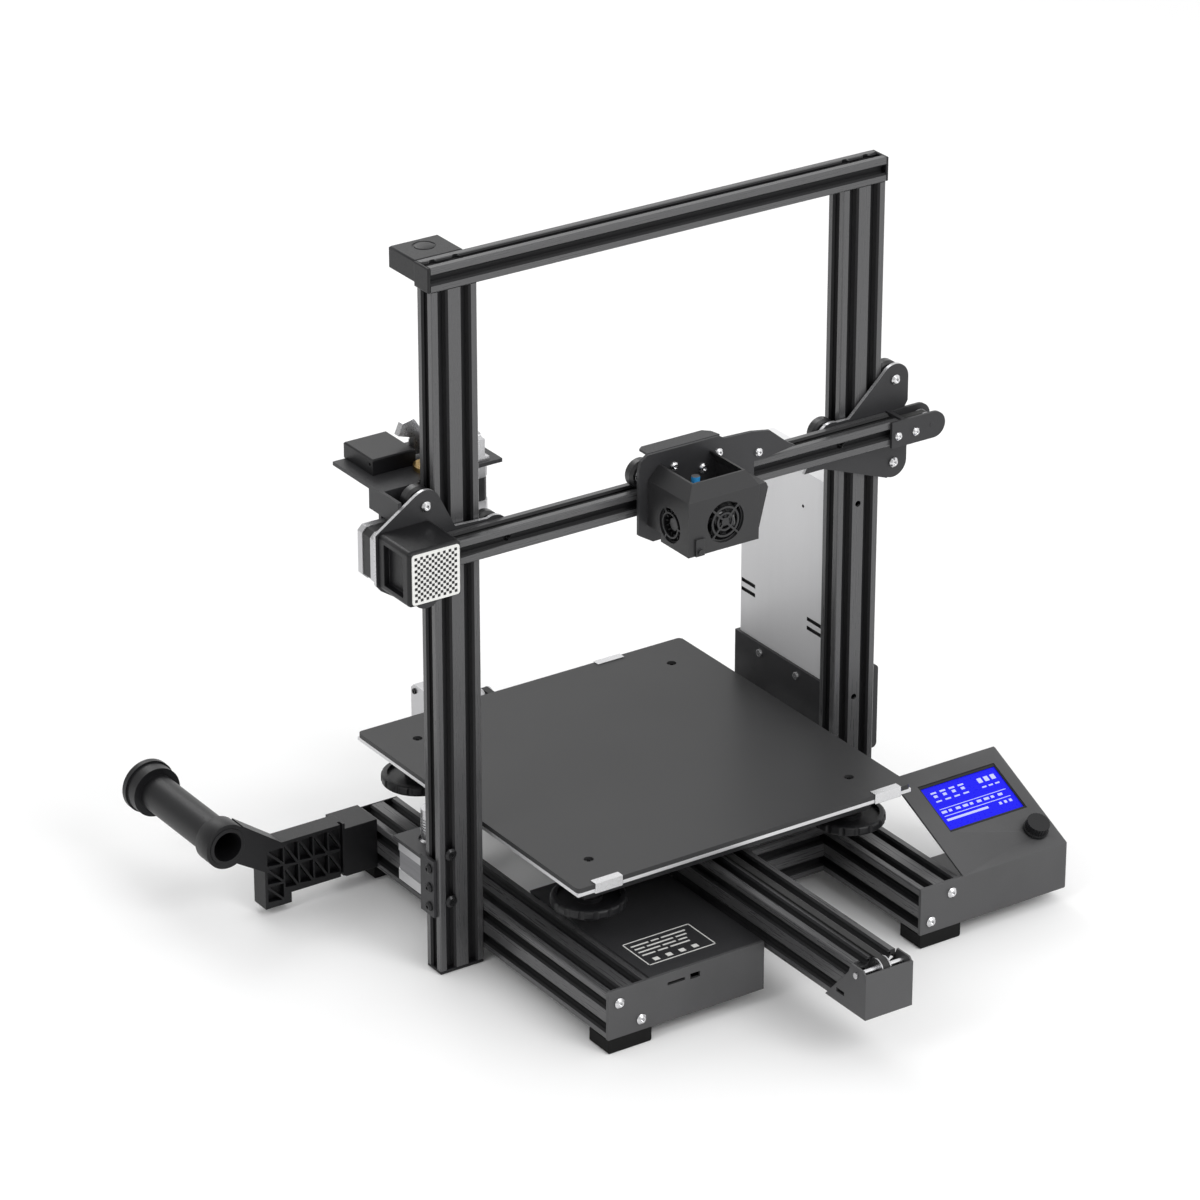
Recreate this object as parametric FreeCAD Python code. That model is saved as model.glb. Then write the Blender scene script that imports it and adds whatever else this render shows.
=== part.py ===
import FreeCAD, Part
import os
from math import atan2, cos, pi, sin

from FreeCAD import Vector

# Open-gantry fused-filament printer, millimetres, +X right, +Y to the rear, +Z up. The sizes below
# are laid out from table level, midway between the two uprights and in line with their front
# faces. The finished pieces are moved together so that the origin is the bottom centre of the
# whole machine's outline.

# ---------------------------------------------------------------- aluminium extrusions
CELL = 20.0                 # side of one extrusion cell
HALF = CELL / 2
SLOT_MOUTH = 4.6            # half width of the slot at the surface
SLOT_NECK = 3.0             # half width of the slot's parallel neck
SLOT_LIP = 1.8              # depth of the neck
SLOT_ROOM = 5.5             # half width of the cavity behind the neck
SLOT_DEPTH = 6.1            # full depth of the slot
CORE_R = 2.1                # bore along the middle of each cell
EDGE = 0.8                  # chamfer on the outer corners

# ---------------------------------------------------------------- overall layout
FOOT_H = 12.0
RAIL_IN, RAIL_OUT = 127.5, 167.5
RAIL_FRONT, RAIL_REAR = -171.0, 190.0
RAIL_TOP = FOOT_H + 2 * CELL
CROSS_FRONT, CROSS_REAR = -45.0, 169.0      # front faces of the two cross beams
Y_RAIL_LOW, Y_RAIL_TOP = 45.0, 85.0
Y_RAIL_FRONT, Y_RAIL_REAR = -283.0, 232.0
UP_IN, UP_OUT = 167.5, 207.5                # uprights, each way from the middle
UP_LOW, UP_TOP = 3.0, 572.0
UP_MID = (UP_IN + UP_OUT) / 2
UP_DEPTH = CELL
PLATE = 3.0                                 # thickness of the steel plates
FRONT_Y = RAIL_FRONT - PLATE                # front face of the two front plates
FRONT_TOP = RAIL_TOP + 0.5

# ---------------------------------------------------------------- gantry, head and bed at rest
BEAM_Z = 370.0                              # centre of the beam that carries the head
BEAM_Y = -14.5
BEAM_LEFT, BEAM_RIGHT = -212.0, 207.5
CARRIAGE_Y = -4.5                           # front face of the two gantry plates
WHEEL_R = 11.9
WHEEL_W = 5.1                               # half width of a wheel
WHEEL_CREST = 2.95                          # half width of its rim
WHEEL_GAP = 10.3                            # wheel axis to extrusion face
AXLE_R = 2.5
HEAD_X = -8.0                               # nozzle
HEAD_Y = -55.0
NOZZLE_Z = 336.0
BED_Y = 42.0                                # middle of the bed
BED_X_HALF, BED_Y_HALF = 157.5, 160.0
BED_TOP = 114.0
BED_SCREW = 123.5                           # levelling screws from the bed's middle
KNOB_R, KNOB_LOW = 30.0, 76.0               # hand nuts on the levelling screws
CARRIER_LOW = 88.0

# ---------------------------------------------------------------- drives
SCREW_X, SCREW_Y = -187.0, 41.7             # vertical lead screw
SCREW_R = 4.0
MOTOR = 42.3                                # side of a stepper motor
SHAFT_R = 2.5
IDLER_BOLT_R = 2.5
BRACKET_BOLTS = (58.0, 74.5, 91.0)          # heights of the bolts through the lower motor bracket
SUPPLY_BOLTS = (133.5, 304.0)               # heights of the power supply's holes in the right upright
STOP_BOLTS = (63.0, 104.0)                  # heights of the two bolts in the left upright's front slot
BELT_T = 1.4
BELT_HALF_W = 3.0
X_PITCH_R = 6.366                           # 20 teeth at 2 mm
Y_PITCH_R = 7.639                           # 24 teeth at 2 mm
X_MOTOR_X, X_IDLER_X = -240.0, 238.0
Y_MOTOR_Y, Y_IDLER_Y = 258.0, -291.75
Y_BELT_Z = Y_RAIL_TOP + 0.5 + BELT_T / 2 - Y_PITCH_R
GEAR_X, GEAR_Y = -160.5, 50.0               # extruder gear
SHELF_Z = 409.0                             # underside of the shelf that carries the extruder
FEED_Y, FEED_Z = 56.3, 420.0                # filament line past the gear

SWITCH_Z = (76.0, 96.0)                     # openings for the power inlet and switch

# ---------------------------------------------------------------- control panel
PANEL_X = (169.0, 273.5)
PANEL_BACK = -77.0
PANEL_TOP = 97.5
PANEL_TILT = atan2(PANEL_TOP - FRONT_TOP, PANEL_BACK - FRONT_Y)

PLAN_CENTRE = (-27.0, -8.0)                 # middle of the machine's plan outline

PARTS = {}


# ================================================================ helpers
def box(x, y, z):
    """A block between the low and high values given for each axis."""
    return Part.makeBox(x[1] - x[0], y[1] - y[0], z[1] - z[0], Vector(x[0], y[0], z[0]))


def rod(radius, start, end):
    """A round bar between two points."""
    start, end = Vector(*start), Vector(*end)
    run = end - start
    return Part.makeCylinder(radius, run.Length, start, run)


def tube(outer, inner, start, end):
    return rod(outer, start, end).cut(rod(inner, start, end))


def place(axis, u, v, w):
    """A point from outline coordinates (u, v) and depth w along the axis."""
    return {"x": Vector(w, u, v), "y": Vector(u, w, v), "z": Vector(u, v, w)}[axis]


def prism(axis, outline, span):
    """An outline in the plane across the axis, pushed from span[0] to span[1] along it."""
    points = [place(axis, u, v, span[0]) for u, v in outline]
    face = Part.Face(Part.makePolygon(points + points[:1]))
    return face.extrude(place(axis, 0, 0, span[1] - span[0]))


def fuse(*shapes):
    return shapes[0].multiFuse(list(shapes[1:])).removeSplitter()


def cut(shape, *tools):
    return shape.cut(Part.makeCompound(list(tools)))


def mirrored(shape):
    """The same piece on the other side of the machine."""
    return shape.mirror(Vector(0, 0, 0), Vector(1, 0, 0))


def both_sides(shape):
    return [shape, mirrored(shape)]


def turned(shape, centre, axis, angle):
    copy = shape.copy()
    copy.rotate(Vector(*centre), Vector(*axis), angle)
    return copy


def node(name, *solids):
    """Names one sub-part: a single solid, or a group of separate ones."""
    PARTS[name] = solids[0] if len(solids) == 1 else Part.makeCompound(list(solids))


def bolt(head_at, direction, head_r=4.4, head_h=2.6, shank_r=2.0, shank=8.0):
    """A button-head bolt: its head stands on head_at, its shank runs along direction."""
    out = Vector(*direction) * -1
    base = Vector(*head_at)
    crown = Part.makeCone(head_r, head_r * 0.62, head_h * 0.55, base + out * head_h * 0.45, out)
    head = Part.makeCylinder(head_r, head_h * 0.45, base, out).fuse(crown)
    key = Part.makeCylinder(head_r * 0.36, head_h * 0.5, base + out * head_h * 0.5, out)
    stem = Part.makeCylinder(shank_r, shank, base, Vector(*direction))
    return head.fuse(stem).cut(key)


# ================================================================ extrusions
def slot_outline():
    """Half-open slot seen along the extrusion, mouth at v = 0, running down to -SLOT_DEPTH."""
    taper = SLOT_ROOM - SLOT_NECK
    right = [
        (SLOT_MOUTH + 1, 1),
        (SLOT_NECK, SLOT_NECK - SLOT_MOUTH),
        (SLOT_NECK, -SLOT_LIP),
        (SLOT_ROOM, -SLOT_LIP),
        (SLOT_ROOM, taper - SLOT_DEPTH),
        (SLOT_NECK, -SLOT_DEPTH),
    ]
    return right + [(-u, v) for u, v in reversed(right)]


def slot_face(side, shift, reach):
    """The slot in one side (0 to 3, quarter turns), shifted along it, at reach from the middle."""
    points = [Vector(u + shift, v + reach, 0) for u, v in slot_outline()]
    face = Part.Face(Part.makePolygon(points + points[:1]))
    face.rotate(Vector(0, 0, 0), Vector(0, 0, 1), 90 * side)
    return face


def section(cells_u, cells_v):
    """Cross-section of a slotted extrusion, centred on the origin."""
    hu, hv = cells_u * HALF, cells_v * HALF
    corner = [(hu - EDGE, -hv), (hu, EDGE - hv), (hu, hv - EDGE), (hu - EDGE, hv)]
    outline = [Vector(u, v, 0) for u, v in corner + [(-u, -v) for u, v in corner]]
    face = Part.Face(Part.makePolygon(outline + outline[:1]))
    cells = {
        (u, v): ((u + 0.5) * CELL - hu, (v + 0.5) * CELL - hv)
        for u in range(cells_u)
        for v in range(cells_v)
    }
    holes = []
    for (u, v), (cu, cv) in cells.items():
        circle = Part.makeCircle(CORE_R, Vector(cu, cv, 0))
        holes.append(Part.Face(Part.Wire(circle)))
        if u == cells_u - 1:
            holes.append(slot_face(3, -cv, hu))
        if u == 0:
            holes.append(slot_face(1, cv, hu))
        if v == cells_v - 1:
            holes.append(slot_face(0, cu, hv))
        if v == 0:
            holes.append(slot_face(2, -cu, hv))
    if cells_u * cells_v > 1:
        arms = [(4.2, 7.6)] if cells_v == 1 else [(4.2, 7.6), (7.6, 4.2)]
        for au, av in arms:
            ring = [Vector(-au, -av, 0), Vector(au, -av, 0), Vector(au, av, 0), Vector(-au, av, 0)]
            holes.append(Part.Face(Part.makePolygon(ring + ring[:1])))
    return face.cut(Part.makeCompound(holes))


def extrusion(cells_u, cells_v, axis, start, end, centre):
    """An extrusion along an axis; centre gives its middle on the other two axes, in X, Y, Z order."""
    bar = section(cells_u, cells_v).extrude(Vector(0, 0, end - start))
    if axis == "y":
        bar.rotate(Vector(0, 0, 0), Vector(1, 0, 0), -90)
        bar.translate(Vector(centre[0], start, centre[1]))
    elif axis == "x":
        bar.rotate(Vector(0, 0, 0), Vector(0, 1, 0), 90)
        bar.translate(Vector(start, centre[0], centre[1]))
    else:
        bar.translate(Vector(centre[0], centre[1], start))
    return bar.Solids[0]


# ================================================================ bought-in parts
def motor(axis, face, centre, length, away):
    """A stepper body: square with cut corners, face on the given plane, running away from it."""
    half, corner = MOTOR / 2, 4.0
    edge = half - corner
    outline = [(half, -edge), (half, edge), (edge, half), (-edge, half)]
    outline += [(-u, -v) for u, v in outline]
    outline = [(u + centre[0], v + centre[1]) for u, v in outline]
    back = face + away * length
    bands = [0, 0.26, 0.74, 1]
    body = None
    for low, high in zip(bands, bands[1:]):
        inset = 0.6 if low == 0.26 else 0.0
        shrink = (half - inset) / half
        ring = [
            (centre[0] + (u - centre[0]) * shrink, centre[1] + (v - centre[1]) * shrink)
            for u, v in outline
        ]
        ends = sorted((face + (back - face) * low, face + (back - face) * high))
        slab = prism(axis, ring, ends)
        body = slab if body is None else body.fuse(slab)
    bore = rod(
        SHAFT_R + 0.4,
        place(axis, *centre, face - away),
        place(axis, *centre, face + away * 10),
    )
    return body.cut(bore)


def v_wheel(centre, axis):
    """A wheel whose rim runs in an extrusion slot, with a clearance bore for its bolt."""
    hub = WHEEL_R - (WHEEL_W - WHEEL_CREST)
    profile = [
        (AXLE_R + 0.06, -WHEEL_W),
        (hub, -WHEEL_W),
        (WHEEL_R, -WHEEL_CREST),
        (WHEEL_R, WHEEL_CREST),
        (hub, WHEEL_W),
        (AXLE_R + 0.06, WHEEL_W),
    ]
    points = [Vector(r, 0, h) for r, h in profile]
    wheel = Part.Face(Part.makePolygon(points + points[:1]))
    wheel = wheel.revolve(Vector(0, 0, 0), Vector(0, 0, 1), 360)
    if axis == "y":
        wheel.rotate(Vector(0, 0, 0), Vector(1, 0, 0), 90)
    wheel.translate(Vector(*centre))
    return wheel


def wheel_set(centre, axis, plate_back, plate_front, head_h=2.8):
    """Wheel, spacer and axle bolt on a carriage plate; a head_h of 0 leaves the bolt flush."""
    side = 1 if plate_front > plate_back else -1
    middle = {"y": centre[1], "z": centre[2]}[axis]
    flat = {"y": (centre[0], centre[2]), "z": (centre[0], centre[1])}[axis]

    def at(depth):
        return place(axis, flat[0], flat[1], depth)

    near = middle + side * WHEEL_W
    far = middle - side * WHEEL_W
    spacer = rod(5.0, at(near), at(plate_back)).cut(rod(AXLE_R + 0.06, at(near), at(plate_back)))
    axle = [rod(AXLE_R, at(far - side * 3.5), at(plate_front)), rod(4.2, at(far - side * 3.5), at(far))]
    if head_h:
        inward = at(plate_front - side) - at(plate_front)
        axle.append(bolt(at(plate_front), inward, head_r=4.2, head_h=head_h, shank_r=AXLE_R, shank=2))
    return [v_wheel(centre, axis), spacer, fuse(*axle)]


def belt_loop(axis, pitch_r, near, far, level, middle):
    """A belt round two equal pulleys, in the plane across the axis."""
    outer, inner = pitch_r + BELT_T / 2, pitch_r - BELT_T / 2
    low, high = middle - BELT_HALF_W, middle + BELT_HALF_W

    def run(radius):
        body = prism(
            axis,
            [(near, level - radius), (far, level - radius), (far, level + radius), (near, level + radius)],
            (low, high),
        )
        for end in (near, far):
            body = body.fuse(rod(radius, place(axis, end, level, low), place(axis, end, level, high)))
        return body

    return run(outer).cut(run(inner)).removeSplitter()


def belt_pulley(axis, pitch_r, centre, middle, bore_r=0.0, hub=()):
    """A flanged belt wheel; hub is an optional (start, end) collar along the axis."""
    root = pitch_r - BELT_T / 2 - 0.08
    inside = BELT_HALF_W + 0.3

    def disc(radius, start, end):
        return rod(radius, place(axis, *centre, start), place(axis, *centre, end))

    body = disc(root, middle - inside, middle + inside)
    for side in (-1, 1):
        flange = disc(pitch_r + 0.9, middle + side * inside, middle + side * (inside + 1.0))
        body = body.fuse(flange)
    if hub:
        body = body.fuse(disc(pitch_r + 0.6, *hub))
    if bore_r:
        reach = inside + 30
        body = body.cut(disc(bore_r, middle - reach, middle + reach))
    return body.removeSplitter()


# ================================================================ base
def base_frame():
    rail_x = (RAIL_IN + RAIL_OUT) / 2
    rail_z = FOOT_H + CELL
    rail = extrusion(2, 2, "y", RAIL_FRONT, RAIL_REAR, (rail_x, rail_z))
    node("side_rails", *both_sides(rail))

    seat = box((-CELL, CELL), (CROSS_FRONT - 1, CROSS_REAR + CELL + 1), (Y_RAIL_LOW, RAIL_TOP + 1))
    beams = [
        extrusion(2, 2, "x", -RAIL_IN, RAIL_IN, (CROSS_FRONT + CELL, rail_z)),
        extrusion(1, 2, "x", -RAIL_IN, RAIL_IN, (CROSS_REAR + HALF, rail_z)),
    ]
    node("cross_beams", *[beam.cut(seat) for beam in beams])
    centre_z = (Y_RAIL_LOW + Y_RAIL_TOP) / 2
    node("y_rail", extrusion(2, 2, "y", Y_RAIL_FRONT, Y_RAIL_REAR, (0, centre_z)))

    foot_low = [(RAIL_IN + 1, 0), (RAIL_OUT - 1, 0), (RAIL_OUT, 1.5), (RAIL_OUT, FOOT_H)]
    outline = foot_low + [(RAIL_IN, FOOT_H), (RAIL_IN, 1.5)]
    feet = []
    for span in ((FRONT_Y, FRONT_Y + 26), (RAIL_REAR - 26, RAIL_REAR)):
        feet += both_sides(prism("y", outline, span))
    node("feet", *feet)


def portal():
    upright = extrusion(2, 1, "z", UP_LOW, UP_TOP, (UP_MID, HALF))
    supply_bolts = [rod(2.6, (UP_MID, -1, z), (UP_MID, UP_DEPTH + 1, z)) for z in SUPPLY_BOLTS]
    node("uprights", mirrored(upright), cut(upright, *supply_bolts))

    beam = extrusion(1, 1, "x", -UP_OUT, UP_OUT, (HALF, UP_TOP + HALF))
    wells = []
    for x in top_bolt_places():
        wells.append(rod(4.9, (x, HALF, UP_TOP + 12), (x, HALF, UP_TOP + CELL + 1)))
        wells.append(rod(2.4, (x, HALF, UP_TOP - 1), (x, HALF, UP_TOP + 12)))
    node("top_beam", cut(beam, *wells))

    cap = 2.5
    caps = both_sides(box((UP_OUT, UP_OUT + cap), (0, CELL), (UP_TOP, UP_TOP + CELL)))
    caps += both_sides(box((UP_IN, UP_OUT), (0, CELL), (0, UP_LOW)))
    caps += both_sides(box((RAIL_IN, RAIL_OUT), (RAIL_REAR, RAIL_REAR + cap), (FOOT_H, RAIL_TOP)))
    caps = [c.makeChamfer(0.6, c.Edges) for c in caps]
    node("end_caps", *caps)


def top_bolt_places():
    return [side * (UP_MID + shift) for side in (-1, 1) for shift in (-HALF, HALF)]


def frame_screws():
    """Bolts seen on the frame: front plates, top beam, motor bracket and the front idler."""
    screws = []
    for side in (-1, 1):
        for x, z in rail_bolt_places(side):
            screws.append(bolt((x, FRONT_Y, z), (0, 1, 0), shank=12))
    for x in top_bolt_places():
        screws.append(bolt((x, HALF, UP_TOP + 12.05), (0, 0, -1), shank=30))
    for z in BRACKET_BOLTS:
        screws.append(bolt((-UP_OUT - PLATE, HALF, z), (1, 0, 0), shank=6, head_r=4.0))
    for z in STOP_BOLTS:
        screws.append(bolt((HALF - UP_OUT, 0, z), (0, 1, 0), shank=5, head_r=5.0))
    screws.append(
        fuse(
            rod(IDLER_BOLT_R, (-24, Y_IDLER_Y, Y_BELT_Z), (22, Y_IDLER_Y, Y_BELT_Z)),
            rod(4.4, (22, Y_IDLER_Y, Y_BELT_Z), (24.6, Y_IDLER_Y, Y_BELT_Z)),
        )
    )
    node("frame_screws", *screws)


def rail_bolt_places(side):
    """(x, z) of the two bolts that hold a front plate to the end of one side rail."""
    middle = (RAIL_IN + RAIL_OUT) / 2
    return [(side * (middle + shift), FOOT_H + CELL + shift) for shift in (-HALF, HALF)]


def front_plate_holes(side):
    return [rod(2.3, (x, FRONT_Y - 1, z), (x, RAIL_FRONT + 1, z)) for x, z in rail_bolt_places(side)]


# ================================================================ electronics
def electronics():
    wall = 1.5
    x, y = (-RAIL_IN, -23.0), (RAIL_FRONT, CROSS_FRONT)
    tray = box(x, y, (FOOT_H, RAIL_TOP))
    room = box((x[0] + wall, x[1] - wall), (y[0], y[1] - wall), (FOOT_H + wall, RAIL_TOP + 1))
    front = box((-RAIL_OUT, x[1]), (FRONT_Y, RAIL_FRONT), (FOOT_H, FRONT_TOP + 1))
    case = fuse(tray.cut(room), front)
    posts = [
        rod(3, (px, py, FOOT_H + wall), (px, py, 40))
        for px in (-115, -40)
        for py in (-155, -70)
    ]
    case = fuse(case, *posts)
    openings = [
        box((-113, -97), (FRONT_Y - 1, RAIL_FRONT + 1), (42.9, 45.5)),
        box((-92, -83), (FRONT_Y - 1, RAIL_FRONT + 1), (41.8, 46.6)),
    ]
    openings += front_plate_holes(-1)
    node("electronics_case", cut(case, *openings))

    lid = box((x[0], x[1]), (RAIL_FRONT, CROSS_FRONT + 2 * CELL), (RAIL_TOP, RAIL_TOP + wall))
    node("electronics_lid", lid)

    board = box((-121, -34), (-161, -64), (40, 41.6))
    chips = [
        box((-112, -98), (-161, -146), (41.6, 45.2)),
        box((-91.5, -83.5), (-161, -144), (41.6, 46.4)),
        box((-80, -66), (-118, -104), (41.6, 43.6)),
        box((-60, -40), (-160, -150), (41.6, 50)),
    ]
    chips += [box((x0, x0 + 9), (-90, -81), (41.6, 48)) for x0 in (-112, -95, -78, -61)]
    node("main_board", fuse(board, *chips))


# ================================================================ power supply
def power_supply():
    x, y, z = (171.0, 201.0), (UP_DEPTH, UP_DEPTH + 115), (104.0, 318.0)
    skin = 1.2
    case = box(x, y, z)
    case = case.cut(box((x[0] + skin, x[1] - skin), (y[0] + skin, y[1] - skin), (z[0] - 1, z[1] - skin)))
    slots = [
        box((side - 3, side + 3), (y0, y0 + 19), (z0, z0 + 3.4))
        for side in x
        for y0 in (y[0] + 4, y[1] - 20)
        for z0 in (181.0, 189.0)
    ]
    vents = []
    for column in range(4):
        for row in range(16):
            vx, vz = x[0] + 6 + 6 * column, z[0] + 72 + 8 * row
            vents.append(rod(2.0, (vx, y[1] - 3, vz), (vx, y[1] + 3, vz)))
    pin = rod(1.4, (x[0] - 1, 51, 287), (x[0] + 3, 51, 287))
    node("psu_case", cut(case, pin, *slots, *vents))

    wall, gap = 2.5, 0.2
    cx, cy, cz = (x[0] - wall, 227.0), (y[0] + 0.3, y[1] + 4), (69.0, 144.0)
    cover = box(cx, cy, cz)
    outer_edges = [e for e in cover.Edges if e.BoundBox.XMin > cx[1] - 0.1 and e.BoundBox.YLength > 1]
    cover = cover.makeFillet(4, outer_edges)
    room, depth = (x[0] - gap, x[1] + gap), (cy[0] + wall, y[1] + gap)
    cover = cover.cut(box((room[0], cx[1] - wall), depth, (cz[0] + wall, cz[1] - wall)))
    cover = cover.cut(box(room, depth, (cz[0] + wall, cz[1] + 1)))
    cover = cover.cut(box(room, (cy[0] - 1, cy[0] + wall + 1), (z[0] - 1, cz[1] + 1)))
    inlet, switch = (178, 205), (209, 223)
    low, high = SWITCH_Z
    for opening in (inlet, switch):
        cover = cover.cut(box(opening, (cy[1] - 9, cy[1] + 1), SWITCH_Z))
    collar = box(inlet, (cy[1] - 9, cy[1] - 0.8), (low, high))
    socket = box((inlet[0] + 2, inlet[1] - 2), (cy[1] - 8, cy[1]), (low + 2, high - 2))
    pins = [
        box((px - 1, px + 1), (cy[1] - 9, cy[1] - 3), (pz, pz + 5))
        for px, pz in ((186, low + 5), (197, low + 5), (191.5, low + 10))
    ]
    screws = [rod(3.2, (cx[0] - 1.4, sy, 136), (cx[0] + 0.5, sy, 136)) for sy in (53, 104)]
    node("psu_cover", fuse(cover, collar.cut(socket), *pins, *screws))

    pivot = (0, cy[1] - 3.0, (low + high) / 2)
    half = (high - low) / 2 - 1.2
    rocker = prism(
        "x",
        [
            (cy[1] - 6, pivot[2] - half),
            (cy[1] - 6, pivot[2] + half),
            (cy[1] + 1.2, pivot[2] + half),
            (cy[1] - 0.2, pivot[2]),
            (cy[1] + 1.2, pivot[2] - half),
        ],
        (switch[0] + 0.3, switch[1] - 0.3),
    )
    node("power_switch", turned(rocker, pivot, (1, 0, 0), -7))


# ================================================================ control panel
def panel_point(along, lift=0.0):
    """(y, z) on the sloping face: along is measured up the slope from its front edge."""
    c, s = cos(PANEL_TILT), sin(PANEL_TILT)
    return FRONT_Y + along * c - lift * s, FRONT_TOP + along * s + lift * c


def panel_bar(radius, x, along, low, high):
    """A round bar square to the sloping face."""
    y0, z0 = panel_point(along, low)
    y1, z1 = panel_point(along, high)
    return rod(radius, (x, y0, z0), (x, y1, z1))


def panel_block(x, along, lift):
    corners = [(along[0], lift[0]), (along[1], lift[0]), (along[1], lift[1]), (along[0], lift[1])]
    return prism("x", [panel_point(a, b) for a, b in corners], x)


SCREEN_X = (185.0, 261.5)
SCREEN_UP = (42.5, 92.0)
KNOB_X, KNOB_UP = 254.0, 20.0


def control_panel():
    wall = 2.0
    outer = [(FRONT_Y, FOOT_H), (PANEL_BACK, FOOT_H), (PANEL_BACK, PANEL_TOP), (FRONT_Y, FRONT_TOP)]
    shell = prism("x", outer, PANEL_X)
    shell = shell.makeFillet(2.5, [e for e in shell.Edges if e.BoundBox.XMin > PANEL_X[1] - 0.1])
    top_front, top_back = panel_point(3, -wall), panel_point(112, -wall)
    inner = [
        (RAIL_FRONT, FOOT_H + wall),
        (PANEL_BACK + 1, FOOT_H + wall),
        top_back,
        (RAIL_FRONT, top_front[1]),
    ]
    shell = shell.cut(prism("x", inner, (PANEL_X[0] - 1, PANEL_X[1] - wall)))
    shell = fuse(shell, box((RAIL_IN, PANEL_X[0] + 1), (FRONT_Y, RAIL_FRONT), (FOOT_H, FRONT_TOP)))
    window = panel_block(SCREEN_X, SCREEN_UP, (-wall - 2, 2))
    hole = panel_bar(3.4, KNOB_X, KNOB_UP, -wall - 2, 3)
    node("display_housing", cut(shell, window, hole, *front_plate_holes(1)))

    gap = 0.3
    frame_x = (SCREEN_X[0] + gap, SCREEN_X[1] - gap)
    frame_up = (SCREEN_UP[0] + gap, SCREEN_UP[1] - gap)
    bezel = panel_block(frame_x, frame_up, (-6, -0.6))
    glass = panel_block((frame_x[0] + 1, frame_x[1] - 1), (frame_up[0] + 2, frame_up[1] - 2.5), (-1.4, 1))
    board = panel_block((176, 268), (14, 98), (-9.6, -8))
    legs = [panel_block((x0, x0 + 4), (u0, u0 + 4), (-8, -6)) for x0 in (190, 250) for u0 in (48, 84)]
    encoder = panel_block((KNOB_X - 6, KNOB_X + 6), (KNOB_UP - 6, KNOB_UP + 6), (-8, -3))
    socket = panel_bar(3.2, KNOB_X, KNOB_UP, -11, -2)
    node("lcd_module", fuse(bezel.cut(glass), board, encoder, *legs).cut(socket))

    node("encoder_shaft", panel_bar(3.0, KNOB_X, KNOB_UP, -7, 8))
    grip = fuse(
        panel_bar(9.5, KNOB_X, KNOB_UP, 2.4, 10),
        panel_bar(10.4, KNOB_X, KNOB_UP, 1.2, 3.0),
    )
    grooves = []
    for i in range(24):
        angle = 2 * pi * i / 24
        dx, du = 9.6 * cos(angle), 9.6 * sin(angle)
        grooves.append(panel_bar(0.55, KNOB_X + dx, KNOB_UP + du, 3.2, 13))
    knob = cut(grip, *grooves, panel_bar(3.06, KNOB_X, KNOB_UP, 0, 8.1))
    node("encoder_knob", knob)


# ================================================================ spool holder
def lattice_pockets(x, z, count):
    """Triangular pockets that leave a crossed web of ribs over a rectangle."""
    rib = 1.5
    wide, tall = (x[1] - x[0]) / count[0], (z[1] - z[0]) / count[1]
    pockets = []
    for column in range(count[0]):
        for row in range(count[1]):
            left, low = x[0] + column * wide + rib, z[0] + row * tall + rib
            right, top = left + wide - rib, low + tall - rib
            pockets.append([(left, low + rib), (right - rib, low + 0.3), (left, top - rib)])
            pockets.append([(right, low + rib), (right, top), (left + rib, top)])
    return pockets


def spool_holder():
    front, back = 158.0, 176.0
    clamp = box((-197.5, -RAIL_OUT), (front, back + 12), (14, 57))
    arm = box((-258, -197.5), (front, back), (15, 62))
    foot = prism("y", [(-272, 6), (-248, 6), (-248, 20), (-258, 62), (-272, 52)], (front, back))
    neck = prism("y", [(-272, 40), (-256, 62), (-290, 86), (-305, 60)], (front, back))
    ring = rod(19, (-305, front, 72.5), (-305, back, 72.5))
    body = fuse(clamp, arm, foot, neck, ring)
    bore = rod(15.5, (-305, front - 1, 72.5), (-305, back + 1, 72.5))
    pockets = lattice_pockets((-255, -200), (18, 59), (4, 2))
    pockets += lattice_pockets((-271, -255), (9, 57), (1, 3))
    pockets = [prism("y", outline, (front - 1, front + 6)) for outline in pockets]
    groove = box((-202, -199.5), (front - 1, front + 5), (14, 63))
    node("spool_arm", cut(body, bore, groove, *pockets))

    spindle = rod(15.4, (-305, front - 0.5, 72.5), (-305, 272, 72.5))
    flange = rod(21, (-305, 270, 72.5), (-305, 285, 72.5))
    lip = rod(22.5, (-305, 282, 72.5), (-305, 287, 72.5))
    hollow = rod(12.4, (-305, 100, 72.5), (-305, 283, 72.5))
    node("spool_tube", fuse(spindle, flange, lip).cut(hollow))


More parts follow.
